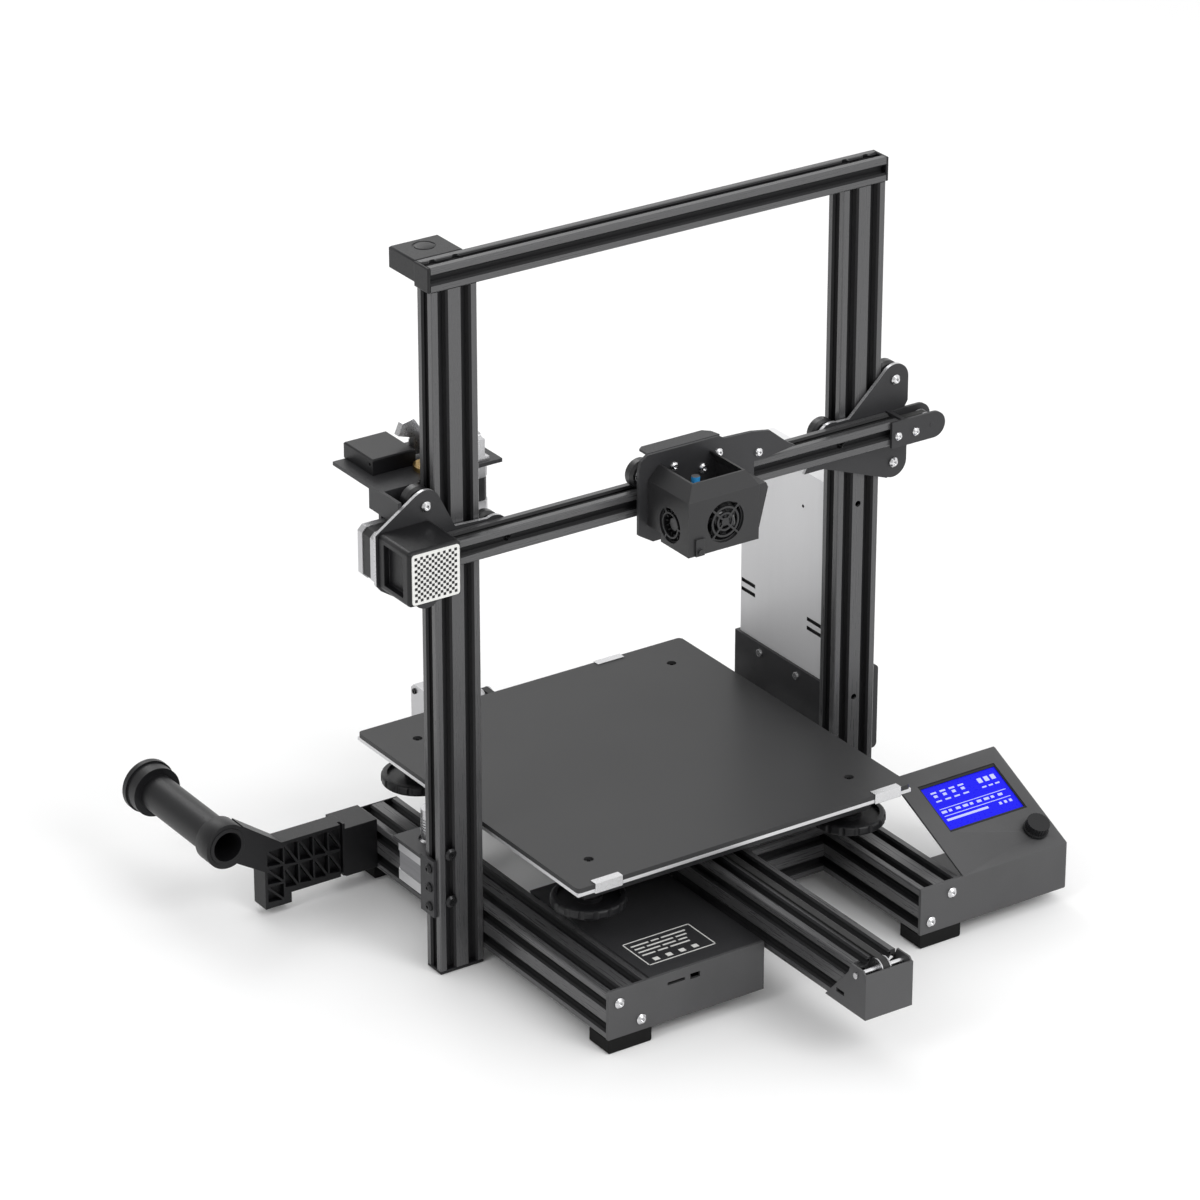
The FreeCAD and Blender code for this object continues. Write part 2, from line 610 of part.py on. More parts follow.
# ================================================================ Z drive
def z_drive():
    z_top = 94.0
    z_motor = motor("z", z_top, (SCREW_X, SCREW_Y), 34, -1)
    y_motor = motor("x", -23.0, (Y_MOTOR_Y, Y_BELT_Z), 36, -1)
    node("base_motors", z_motor, y_motor)

    half = MOTOR / 2
    side = box((-UP_OUT - PLATE, -UP_OUT), (4, 23), (50, 99))
    shelf = box((-UP_OUT - PLATE, SCREW_X + half), (UP_DEPTH + 0.2, SCREW_Y + half), (z_top, z_top + PLATE))
    z_bracket = fuse(side, shelf)
    z_bracket = z_bracket.cut(rod(11.4, (SCREW_X, SCREW_Y, 90), (SCREW_X, SCREW_Y, 100)))
    for z in BRACKET_BOLTS:
        z_bracket = z_bracket.cut(rod(2.3, (-UP_OUT - 5, HALF, z), (-UP_OUT + 1, HALF, z)))
    top, reach = Y_BELT_Z + 19, 19
    outline = [(205, 56), (Y_MOTOR_Y + reach, 56), (Y_MOTOR_Y + reach, top - 6), (Y_MOTOR_Y + reach - 6, top),
               (Y_MOTOR_Y - 10, top), (Y_MOTOR_Y - reach, top - 9), (Y_MOTOR_Y - reach, 84), (205, 84)]
    y_bracket = prism("x", outline, (-23, -20))
    y_bracket = y_bracket.cut(rod(11.4, (-25, Y_MOTOR_Y, Y_BELT_Z), (-18, Y_MOTOR_Y, Y_BELT_Z)))
    node("motor_brackets", z_bracket, y_bracket)

    screw = rod(SCREW_R, (SCREW_X, SCREW_Y, 111), (SCREW_X, SCREW_Y, 585))
    coupler = rod(9.5, (SCREW_X, SCREW_Y, 98), (SCREW_X, SCREW_Y, 124))
    coupler = cut(
        coupler,
        rod(SCREW_R + 0.05, (SCREW_X, SCREW_Y, 110), (SCREW_X, SCREW_Y, 125)),
        rod(SHAFT_R + 0.05, (SCREW_X, SCREW_Y, 97), (SCREW_X, SCREW_Y, 111)),
    )
    shaft = rod(SHAFT_R, (SCREW_X, SCREW_Y, 86), (SCREW_X, SCREW_Y, 109))
    node("lead_screw", screw, coupler, shaft)

    block = box((-209, -166), (UP_DEPTH, 56), (575, UP_TOP + CELL))
    block = block.makeChamfer(1.2, [e for e in block.Edges if e.BoundBox.ZMin > 591])
    bore = rod(SCREW_R + 0.15, (SCREW_X, SCREW_Y, 570), (SCREW_X, SCREW_Y, 587))
    ring = tube(9.0, 7.6, (SCREW_X, SCREW_Y, 591.4), (SCREW_X, SCREW_Y, 593))
    node("screw_top_block", cut(block, bore, ring))


# ================================================================ Y drive
def y_drive():
    belt = belt_loop("x", Y_PITCH_R, Y_IDLER_Y, Y_MOTOR_Y, Y_BELT_Z, 0)
    node("y_belt", belt)
    pulley = belt_pulley("x", Y_PITCH_R, (Y_MOTOR_Y, Y_BELT_Z), 0, hub=(-13, -4))
    shaft = rod(SHAFT_R, (-32, Y_MOTOR_Y, Y_BELT_Z), (5, Y_MOTOR_Y, Y_BELT_Z))
    node("y_motor_pulley", fuse(pulley, shaft))
    node("y_idler_pulley", belt_pulley("x", Y_PITCH_R, (Y_IDLER_Y, Y_BELT_Z), 0, IDLER_BOLT_R + 0.06))

    low, high = Y_RAIL_LOW - 0.5, Y_RAIL_TOP
    sheet = 1.5
    front = box((-22, 22), (-303, -303 + sheet + 0.5), (low, high - 2.5))
    floor = box((-22, 22), (-302, Y_RAIL_FRONT), (low, low + sheet))
    side = [(-302, low), (-252, low), (-281, 77), (-284, high), (-299, high), (-302, high - 3)]
    cheek = prism("x", side, (22 - sheet, 22))
    slot = box((15, 30), (-276, -266), (53, 56.5))
    hanger = fuse(front, floor, *both_sides(cheek.cut(slot)))
    hole = rod(IDLER_BOLT_R + 0.06, (-23, Y_IDLER_Y, Y_BELT_Z), (23, Y_IDLER_Y, Y_BELT_Z))
    node("y_tensioner", hanger.cut(hole))


# ================================================================ gantry
def wheel_spots(side):
    """(x, z) of the three wheels that hold one end of the gantry on its upright."""
    outside, inside = UP_OUT + WHEEL_GAP, UP_IN - WHEEL_GAP
    return [
        (side * outside, BEAM_Z + 35.5),
        (side * outside, BEAM_Z - 35.5),
        (side * inside, BEAM_Z),
    ]


def gantry_plate(side, outline):
    """A steel plate with a round lobe at each wheel and clearance holes for the wheel bolts."""
    span = (CARRIAGE_Y, CARRIAGE_Y + PLATE)
    lobes = [rod(13, (x, span[0], z), (x, span[1], z)) for x, z in wheel_spots(side)]
    body = fuse(prism("y", outline, span), *lobes)
    holes = [rod(AXLE_R + 0.06, (x, span[0] - 1, z), (x, span[1] + 1, z)) for x, z in wheel_spots(side)]
    return cut(body, *holes)


def gantry():
    beam = extrusion(1, 1, "x", BEAM_LEFT, BEAM_RIGHT, (BEAM_Y, BEAM_Z))
    access = [rod(3.4, (x, BEAM_Y - 11, BEAM_Z), (x, BEAM_Y, BEAM_Z)) for x in (-155, 155)]
    node("x_beam", cut(beam, *access))
    right = gantry_plate(1, [(131, 345), (150, 345), (212, 322), (230.8, 334), (230.8, 352), (226, 360),
                             (226, 377), (230.8, 385), (230.8, 405), (208, 414), (174, 382), (151, 382)])
    left = gantry_plate(-1, [(-262, 351), (-258, 346), (-228, 326), (-212, 322), (-190, 356), (-150, 359),
                             (-150, 381), (-192, 383), (-206, 411), (-226, 416), (-262, 392)])
    boss = rod(11.3, (X_MOTOR_X, CARRIAGE_Y - 1, BEAM_Z), (X_MOTOR_X, CARRIAGE_Y + 4, BEAM_Z))
    node("z_plate_right", right)
    node("z_plate_left", left.cut(boss))

    wheels = []
    for side in (-1, 1):
        for x, z in wheel_spots(side):
            behind_beam = abs(x) < UP_IN
            wheels += wheel_set((x, HALF, z), "y", CARRIAGE_Y + PLATE, CARRIAGE_Y, 0 if behind_beam else 2.8)
    node("z_wheels", *wheels)

    back = CARRIAGE_Y + PLATE
    x_motor = motor("y", back, (X_MOTOR_X, BEAM_Z), 24, 1)
    extruder_motor = motor("z", SHELF_Z, (GEAR_X, GEAR_Y), 40, -1)
    node("gantry_motors", x_motor, extruder_motor)
    node("x_motor_cover", x_motor_cover())

    node("x_belt", belt_loop("y", X_PITCH_R, X_MOTOR_X, X_IDLER_X, BEAM_Z, BEAM_Y))
    drive = belt_pulley("y", X_PITCH_R, (X_MOTOR_X, BEAM_Z), BEAM_Y, hub=(BEAM_Y - 10, BEAM_Y - 4))
    spindle = rod(SHAFT_R, (X_MOTOR_X, BEAM_Y - 9, BEAM_Z), (X_MOTOR_X, back + 7, BEAM_Z))
    node("x_motor_pulley", fuse(drive, spindle))
    node("x_idler_pulley", belt_pulley("y", X_PITCH_R, (X_IDLER_X, BEAM_Z), BEAM_Y, 2.06))

    x_tensioner()
    extruder()


def x_motor_cover():
    """Moulded box over the X motor's pulley, open at the back and where the beam enters."""
    x, y, z = (-260.0, -213.5), (-48.0, CARRIAGE_Y), (348.5, 393.5)
    wall = 2.0
    cover = box(x, y, z)
    upright_edges = [e for e in cover.Edges if e.BoundBox.YMax < y[0] + 0.1 or e.BoundBox.YLength > 40]
    cover = cover.makeFillet(3.5, upright_edges)
    cover = cover.cut(box((x[0] + wall, x[1] - wall), (y[0] + wall, y[1] + 1), (z[0] + wall, z[1] - wall)))
    cover = cover.cut(box((x[1] - 3, x[1] + 1), (-26, y[1] + 1), (358, 382)))
    niche = box((x[0] - 1, x[0] + 5), (y[0] + 9, y[1] - 8), (z[0] + 6, z[1] - 6))
    liner = box((x[0] + 1, x[0] + 6.5), (y[0] + 7.5, y[1] - 6.5), (z[0] + 4.5, z[1] - 4.5))
    return fuse(cover, liner).cut(niche)


def x_tensioner():
    """Fork at the right end of the beam that carries the belt's idler."""
    plates = []
    for start, span in ((199, (-27.3, -24.7)), (209.5, (-7.2, -4.6))):
        arm = box((start, 240), span, (358.5, 380.5))
        nose = rod(11, (240, span[0], 369.5), (240, span[1], 369.5))
        plates.append(fuse(arm, nose))
    bridge = box((209.5, 213), (-25, -7), (358.5, 362.5))
    bridge_top = box((209.5, 213), (-25, -7), (377.6, 380.5))
    pin = rod(2.0, (X_IDLER_X, -27.5, BEAM_Z), (X_IDLER_X, -4.8, BEAM_Z))
    heads = [bolt((x, -27.3, 368), (0, 1, 0), head_r=3.4, head_h=2.2, shank=2) for x in (205, 222)]
    node("x_tensioner", fuse(*plates, bridge, bridge_top, pin, *heads))


def extruder():
    """Filament drive on a shelf behind the left upright."""
    low, high = SHELF_Z, SHELF_Z + PLATE
    shelf = box((-240, -130), (26, 92), (low, high))
    ear = box((-240, -237), (CARRIAGE_Y + PLATE, 40), (393, high))
    apron = box((-240, -205), (23, 26.5), (386, high))
    holes = [
        rod(5.3, (SCREW_X, SCREW_Y, low - 1), (SCREW_X, SCREW_Y, high + 1)),
        rod(11.3, (GEAR_X, GEAR_Y, low - 1), (GEAR_X, GEAR_Y, high + 1)),
    ]
    node("extruder_bracket", cut(fuse(shelf, ear, apron), *holes))

    nut = fuse(
        rod(11, (SCREW_X, SCREW_Y, high), (SCREW_X, SCREW_Y, high + 3.5)),
        rod(5.1, (SCREW_X, SCREW_Y, 400), (SCREW_X, SCREW_Y, high + 1)),
    )
    node("lead_nut", nut.cut(rod(SCREW_R + 0.1, (SCREW_X, SCREW_Y, 390), (SCREW_X, SCREW_Y, 420))))

    x0, x1 = GEAR_X + 15, GEAR_X + MOTOR / 2
    base = box((-173, x1), (29.5, 71), (high, high + 3))
    base = base.cut(rod(7.5, (GEAR_X, GEAR_Y, high - 1), (GEAR_X, GEAR_Y, high + 4)))
    guide = box((x0 - 7.5, x0 + 1), (50, 59.8), (high, high + 14))
    cheek = box((-173, -168), (30, 52), (high, high + 14))
    wall = box((-173, x1 - 4), (29.5, 35), (high, high + 18))
    post = rod(2.6, (x0, 66, high), (x0, 66, high + 17))
    coupling = fuse(
        rod(4.4, (x0, FEED_Y, FEED_Z), (x0 + 9, FEED_Y, FEED_Z)),
        rod(3.4, (x0 + 9, FEED_Y, FEED_Z), (x0 + 14, FEED_Y, FEED_Z)),
    )
    path = rod(1.2, (x0 - 9, FEED_Y, FEED_Z), (x0 + 16, FEED_Y, FEED_Z))
    node("extruder_block", cut(fuse(base, guide, cheek, wall, post, coupling), path))

    teeth = []
    for i in range(22):
        angle = 2 * pi * i / 22
        cx, cy = GEAR_X + 5.6 * cos(angle), GEAR_Y + 5.6 * sin(angle)
        teeth.append(rod(0.45, (cx, cy, 417), (cx, cy, 424)))
    gear = fuse(
        rod(5.3, (GEAR_X, GEAR_Y, 415.6), (GEAR_X, GEAR_Y, 426)),
        rod(SHAFT_R, (GEAR_X, GEAR_Y, 402), (GEAR_X, GEAR_Y, 429)),
    )
    node("extruder_gear", cut(gear, *teeth))

    bar = box((-186, x0 + 1), (61.6, 70), (high + 3.5, high + 14))
    pivot = rod(5.0, (x0, 66, high + 3.5), (x0, 66, high + 14))
    roller = rod(6.5, (GEAR_X, 63.8, 417), (GEAR_X, 63.8, 424))
    handle = prism(
        "y",
        [(-200, 434), (-196, 443), (-186, 445), (-180, 436), (-181, high + 3.5), (-186, high + 3.5),
         (-187, 430)],
        (61.6, 67.5),
    )
    lever = fuse(bar, pivot, roller, handle).cut(rod(2.66, (x0, 66, high), (x0, 66, high + 20)))
    node("extruder_lever", lever)

    sensor = box((-229, -191), (52, 94), (high, high + 13))
    sensor = sensor.makeChamfer(1.0, [e for e in sensor.Edges if e.BoundBox.ZMin > high + 12])
    feed = rod(1.4, (-230, FEED_Y, FEED_Z), (-190, FEED_Y, FEED_Z))
    node("filament_sensor", sensor.cut(feed))


# ================================================================ print head
HEAD_BACK = -30.2                           # back face of the head plate
HEAD_SCREWS = ((-12.8, 398.0), (28.6, 399.5), (66.0, 390.5))


def head_wheel_spots():
    return [
        (-31.5, BEAM_Z + HALF + WHEEL_GAP),
        (14.0, BEAM_Z + HALF + WHEEL_GAP),
        (-9.0, BEAM_Z - HALF - WHEEL_GAP),
    ]


def print_head():
    span = (HEAD_BACK - PLATE, HEAD_BACK)
    outline = [(-45, 402), (-45, 348), (-32, 340), (14, 340), (40, 366), (62, 367), (62, 384), (72, 384),
               (101, 388), (94, 392), (77, 406), (60, 409), (34, 410), (29, 413), (-37, 413), (-43, 409)]
    spots = head_wheel_spots()
    plate = prism("y", outline, span)
    plate = cut(plate, *[rod(AXLE_R + 0.06, (x, span[0] - 1, z), (x, span[1] + 1, z)) for x, z in spots])
    hood = prism(
        "z",
        [(-36, span[1] - 0.5), (31, span[1] - 0.5), (29, -22), (24, -17), (-32, -17), (-36, -20)],
        (411.6, 413.4),
    )
    screws = [bolt((x, span[0], z), (0, 1, 0), head_r=3.6, head_h=2.2, shank=2) for x, z in HEAD_SCREWS]
    node("head_plate", fuse(plate, hood, *screws))
    wheels = []
    for x, z in spots:
        wheels += wheel_set((x, BEAM_Y, z), "y", span[1], span[0])
    node("head_wheels", *wheels)

    front, low, high, rim = -88.0, 348.0, 393.0, 403.0
    left, right = -37.0, 28.0
    shroud = fan_shroud(left, right, front, span[0], low, high, rim)
    node("fan_shroud", shroud)
    hot_end()

    fan = [rod(7, (-3, -84.5, BEAM_Z), (-3, -77, BEAM_Z))]
    for i in range(7):
        blade = box((-3.9, -2.1), (-83.5, -78), (BEAM_Z + 6, BEAM_Z + 15.2))
        blade = turned(blade, (-3, -80.7, BEAM_Z + 10), (0, 0, 1), 38)
        fan.append(turned(blade, (-3, 0, BEAM_Z), (0, 1, 0), 360 * i / 7))
    node("hotend_fan", fuse(*fan))

    by, bz = -63.0, 366.0
    rotor = [rod(5, (-33.5, by, bz), (-25, by, bz)), rod(12, (-26, by, bz), (-25, by, bz))]
    for i in range(16):
        vane = box((-33, -25.4), (by - 0.5, by + 0.5), (bz + 8.5, bz + 12))
        rotor.append(turned(vane, (0, by, bz), (1, 0, 0), 360 * i / 16))
    node("part_fan", fuse(*rotor))


def fan_shroud(left, right, front, back, low, high, rim):
    """Sheet-metal style shroud round the hot end, open at the back, the top and the bottom."""
    wall, slope = 1.8, rim - high

    def frustum(inset, extra):
        base = box((left + inset, right - inset), (front + inset, back + extra), (low - extra, high))
        ring = []
        for z, shift in ((high, 0), (rim + extra, slope + extra)):
            pts = [
                Vector(left + inset + shift, front + inset + shift, z),
                Vector(right - inset - shift * 0.6, front + inset + shift, z),
                Vector(right - inset - shift * 0.6, back + extra, z),
                Vector(left + inset + shift, back + extra, z),
            ]
            ring.append(Part.makePolygon(pts + pts[:1]))
        return base.fuse(Part.makeLoft(ring, True, True))

    shell = frustum(0, 0).cut(frustum(wall, 0.001))
    duct = prism(
        "y",
        [(right - 1, low + 6), (right + 2, low + 8), (right + 10, high - 5), (right + 8, high - 1),
         (right - 1, high - 1)],
        (front + 2.5, back - 8),
    )
    tab = box((left + 6, left + 14), (front - 1.6, front + 0.2), (low, low + 14))
    notch = box((left - 1, left + 4), (back - 17.8, back + 1), (low - 1, low + 7))
    tab_screw = rod(2.4, (left + 10, front - 3.2, low + 3.5), (left + 10, front - 1, low + 3.5))
    bolt_x, bolt_z = head_wheel_spots()[0]
    holes = [rod(16.8, (-3, front - 1, BEAM_Z), (-3, front + wall + 1, BEAM_Z)),
             rod(14.0, (left - 1, -63, 366), (left + wall + 1, -63, 366)),
             rod(5.4, (bolt_x, back - 3.5, bolt_z), (bolt_x, back + 1, bolt_z))]
    shell = cut(fuse(shell, duct, tab, tab_screw), notch, *holes)
    mid = front + wall / 2
    grille = [tube(r, r - 1.6, (-3, mid - 0.8, BEAM_Z), (-3, mid + 0.8, BEAM_Z)) for r in (12.6, 7.6)]
    grille.append(rod(3.2, (-3, mid - 0.8, BEAM_Z), (-3, mid + 0.8, BEAM_Z)))
    for i in range(4):
        spoke = box((2, 17.2), (mid - 0.8, mid + 0.8), (-0.8, 0.8))
        spoke.translate(Vector(-3, 0, BEAM_Z))
        grille.append(turned(spoke, (-3, 0, BEAM_Z), (0, 1, 0), 45 + 90 * i))
    hoop = tube(10.6, 9.2, (left + 0.2, -63, 366), (left + 1.4, -63, 366))
    bar = box((left + 0.2, left + 1.4), (-77.2, -72.4), (365.2, 366.8))
    bars = [turned(bar, (left, -63, 366), (1, 0, 0), 120 * i) for i in range(3)]
    return fuse(shell, *grille, hoop, *bars)


def hot_end():
    fins = [rod(11, (HEAD_X, HEAD_Y, 353 + 3 * i), (HEAD_X, HEAD_Y, 354.4 + 3 * i)) for i in range(8)]
    core = rod(5, (HEAD_X, HEAD_Y, 346), (HEAD_X, HEAD_Y, 380))
    block = box((HEAD_X - 8, HEAD_X + 12), (HEAD_Y - 8, HEAD_Y + 8), (341, 350))
    cone = Part.makeCone(0.8, 3.5, 5, Vector(HEAD_X, HEAD_Y, NOZZLE_Z))
    fitting = rod(4.6, (HEAD_X, HEAD_Y, 380), (HEAD_X, HEAD_Y, 390))
    collar = rod(3.4, (HEAD_X, HEAD_Y, 390), (HEAD_X, HEAD_Y, 397))
    arm = box((HEAD_X - 6, HEAD_X + 6), (HEAD_Y + 4, HEAD_BACK - PLATE), (358, 374))
    node("hot_end", fuse(core, *fins, block, cone, fitting, collar, arm))


# ================================================================ bed
def bed_corners():
    return [(sx * BED_SCREW, BED_Y + sy * BED_SCREW) for sy in (-1, 1) for sx in (-1, 1)]


def bed():
    top = CARRIER_LOW + PLATE
    spine = box((-58, 58), (BED_Y - 110, BED_Y + 110), (CARRIER_LOW, top))
    arms = [box((-136, 136), (BED_Y + s * BED_SCREW - 13, BED_Y + s * BED_SCREW + 13), (CARRIER_LOW, top))
            for s in (-1, 1)]
    wheels_at = [(sx * (CELL + WHEEL_GAP), BED_Y + sy * 62, 75.0) for sx in (-1, 1) for sy in (-1, 1)]
    holes = [rod(2.4, (x, y, 80), (x, y, 100)) for x, y in bed_corners()]
    holes += [rod(AXLE_R + 0.06, (x, y, 80), (x, y, 100)) for x, y, _ in wheels_at]
    lightening = [box((sx * 30 - 14, sx * 30 + 14), (BED_Y - 38, BED_Y + 38), (80, 100)) for sx in (-1, 1)]
    node("y_carriage", cut(fuse(spine, *arms), *holes, *lightening))
    wheels = []
    for centre in wheels_at:
        wheels += wheel_set(centre, "z", CARRIER_LOW, top)
    node("y_wheels", *wheels)

    x, y = (-BED_X_HALF, BED_X_HALF), (BED_Y - BED_Y_HALF, BED_Y + BED_Y_HALF)
    heater = box(x, y, (107, 110))
    plate = box(x, y, (110, BED_TOP))
    for cx, cy in bed_corners():
        heater = heater.cut(rod(2.2, (cx, cy, 100), (cx, cy, 120)))
        plate = plate.cut(rod(4.0, (cx, cy, 109), (cx, cy, 120)))
    plate = plate.makeFillet(4, [e for e in plate.Edges if abs(e.BoundBox.ZLength - 4) < 0.1 and
                                 len(e.Vertexes) == 2 and abs(abs(e.Vertexes[0].X) - BED_X_HALF) < 0.1])
    node("heated_bed", heater)
    node("build_plate", plate)

    clips = []
    for x0, x1, rear in ((-142, -117, False), (122, 147, False), (71, 97, True)):
        edge = y[1] if rear else y[0]
        side = 1 if rear else -1
        outline = [(edge - side * 6, BED_TOP), (edge + side * 0.1, BED_TOP), (edge + side * 0.1, 107),
                   (edge - side * 6, 107), (edge - side * 6, 106.2), (edge + side * 0.9, 106.2),
                   (edge + side * 0.9, BED_TOP + 0.8), (edge - side * 6, BED_TOP + 0.8)]
        clips.append(prism("x", outline, (x0, x1)))
    node("bed_clips", *clips)

    hardware = []
    names = ("front_left", "front_right", "rear_left", "rear_right")
    for name, (cx, cy) in zip(names, bed_corners()):
        hardware.append(tube(5.2, 3.2, (cx, cy, top), (cx, cy, 107)))
        hardware.append(fuse(rod(2.0, (cx, cy, KNOB_LOW - 3), (cx, cy, 111)),
                             rod(3.6, (cx, cy, 110), (cx, cy, 112.4))))
        node("level_knob_" + name, level_knob(cx, cy))
    node("bed_springs", *hardware)


def level_knob(cx, cy):
    """Wide, dished hand nut with a scalloped rim."""
    low, high = KNOB_LOW, KNOB_LOW + 8
    body = rod(KNOB_R, (cx, cy, low), (cx, cy, high))
    body = body.makeFillet(2.5, [edge for edge in body.Edges if len(edge.Vertexes) == 1])
    dish = tube(KNOB_R - 5, 11, (cx, cy, high - 3), (cx, cy, high + 1))
    hub = rod(8, (cx, cy, low), (cx, cy, CARRIER_LOW - 0.3))
    scallops = []
    for i in range(16):
        angle = 2 * pi * i / 16
        sx, sy = cx + (KNOB_R + 2) * cos(angle), cy + (KNOB_R + 2) * sin(angle)
        scallops.append(rod(3.2, (sx, sy, low - 1), (sx, sy, high + 1)))
    bore = rod(2.06, (cx, cy, low - 1), (cx, cy, CARRIER_LOW))
    return cut(body.fuse(hub), dish, *scallops, bore).removeSplitter()


# ================================================================ build
def main():
    base_frame()
    portal()
    frame_screws()
    electronics()
    power_supply()
    control_panel()
    spool_holder()
    z_drive()
    y_drive()
    gantry()
    print_head()
    bed()
    os.makedirs("parts", exist_ok=True)
    for name, shape in PARTS.items():
        placed = shape.translated(Vector(-PLAN_CENTRE[0], -PLAN_CENTRE[1], 0))
        placed.exportStep(os.path.join("parts", name + ".step"))
    print(len(PARTS), "nodes")


main()
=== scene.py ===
import math

import bmesh
import bpy
from mathutils import Matrix, Vector


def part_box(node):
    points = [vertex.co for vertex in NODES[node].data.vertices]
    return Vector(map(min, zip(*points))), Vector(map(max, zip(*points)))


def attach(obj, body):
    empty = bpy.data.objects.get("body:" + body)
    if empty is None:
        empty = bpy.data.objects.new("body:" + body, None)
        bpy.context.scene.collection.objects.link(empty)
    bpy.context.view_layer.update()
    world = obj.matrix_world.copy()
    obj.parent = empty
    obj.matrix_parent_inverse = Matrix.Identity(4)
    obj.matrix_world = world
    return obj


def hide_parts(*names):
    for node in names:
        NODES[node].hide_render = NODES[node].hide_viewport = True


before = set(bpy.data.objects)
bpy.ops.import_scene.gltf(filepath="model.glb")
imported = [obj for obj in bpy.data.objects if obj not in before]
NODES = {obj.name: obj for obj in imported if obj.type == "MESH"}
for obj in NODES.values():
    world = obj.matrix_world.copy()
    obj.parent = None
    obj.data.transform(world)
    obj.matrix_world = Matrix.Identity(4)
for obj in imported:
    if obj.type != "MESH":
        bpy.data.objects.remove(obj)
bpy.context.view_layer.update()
MM = 0.001

# ------------------------------------------------------------------ viewing angle
CAMERA_AZ, CAMERA_EL = -33.817, 25.332      # degrees
CAMERA_DISTANCE = 4.105
CAMERA_TARGET = (-0.0314, 0.008, 0.2845)
CAMERA_LENS = 159.87                        # millimetres on a 36 mm sensor

# ------------------------------------------------------------------ sizes
HERE = Matrix.Identity(4)
BOLT_HEAD = 2.2 * MM                        # how far bolt heads stand out of a plate
CORNERS = ("front_left", "front_right", "rear_left", "rear_right")
BELT_PITCH = 2.0 * MM
BELT_BACK, BELT_TOOTH = 1.2 * MM, 0.8 * MM

COUPLER = (98.0 * MM, 124.0 * MM)           # bottom and top of the shaft coupler
COUPLER_R, COUPLER_CUT_R = 9.5 * MM, 7.6 * MM
THREAD_FOOT = 111.0 * MM                    # lowest visible turn of the lead screw
THREAD_R, THREAD_DEPTH = 3.95 * MM, 0.75 * MM
THREAD_PITCH = 2.0 * MM
THREAD_STARTS = 4

FAN_BLADES = 7
FAN_HALF, FAN_BORE = 17.0 * MM, 15.6 * MM   # the hot end's fan: half its side, and its opening
SHROUD_WALL = 1.8 * MM
SHROUD_FRONT = 5.0 * MM                     # from the tip of the shroud's tab screw to its inner face
CLIP_BAND = (390.1 * MM, 396.9 * MM)        # the blue clip on the hot end's fitting
NOZZLE_TOP = 340.9 * MM

PSU_SKIN = 0.3 * MM                         # faces deeper than this are inside the power supply
PSU_INSET = 1.6 * MM                        # from the power supply's case to what fills it

SLOPE = (0, -0.4208, 0.9071)                # the way the control panel faces
GLASS_DROP = 0.8 * MM                       # display glass below its bezel
READOUT_THICK, LID_MARK_THICK = 0.15, 0.25  # millimetres


def node_box(name):
    low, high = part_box(name)
    return Vector(low), Vector(high)


class Flat:
    """A flat outer face of a node: local axes with x to the right, y up and z outwards."""

    def __init__(self, points, normal):
        self.normal = normal
        right = Vector((0, 0, 1)).cross(normal)
        right = right.normalized() if right.length > 0.01 else Vector((1, 0, 0))
        up = normal.cross(right)
        along = [point.dot(right) for point in points]
        rise = [point.dot(up) for point in points]
        self.width, self.height = max(along) - min(along), max(rise) - min(rise)
        self.level = points[0].dot(normal)
        centre = right * (max(along) + min(along)) / 2 + up * (max(rise) + min(rise)) / 2
        centre += normal * self.level
        self.place = Matrix((right, up, normal)).transposed().to_4x4()
        self.place.translation = centre

    def height_of(self, point):
        return point.dot(self.normal) - self.level


def flat_face(name, towards, drop=0.0):
    """The face of a node that looks along towards, drop below the outermost one."""
    mesh = NODES[name].data
    normal = Vector(towards).normalized()
    facing = [face for face in mesh.polygons if face.normal.dot(normal) > 0.999]
    level = max(face.center.dot(normal) for face in facing) - drop
    chosen = [face for face in facing if abs(face.center.dot(normal) - level) < 0.1 * MM]
    return Flat([mesh.vertices[index].co for face in chosen for index in face.vertices], normal)


# ================================================================== solids
def aimed(start, end):
    """Local axes at start whose z axis runs to end."""
    start, end = Vector(start), Vector(end)
    place = (end - start).to_track_quat("Z", "Y").to_matrix().to_4x4()
    place.translation = start
    return place


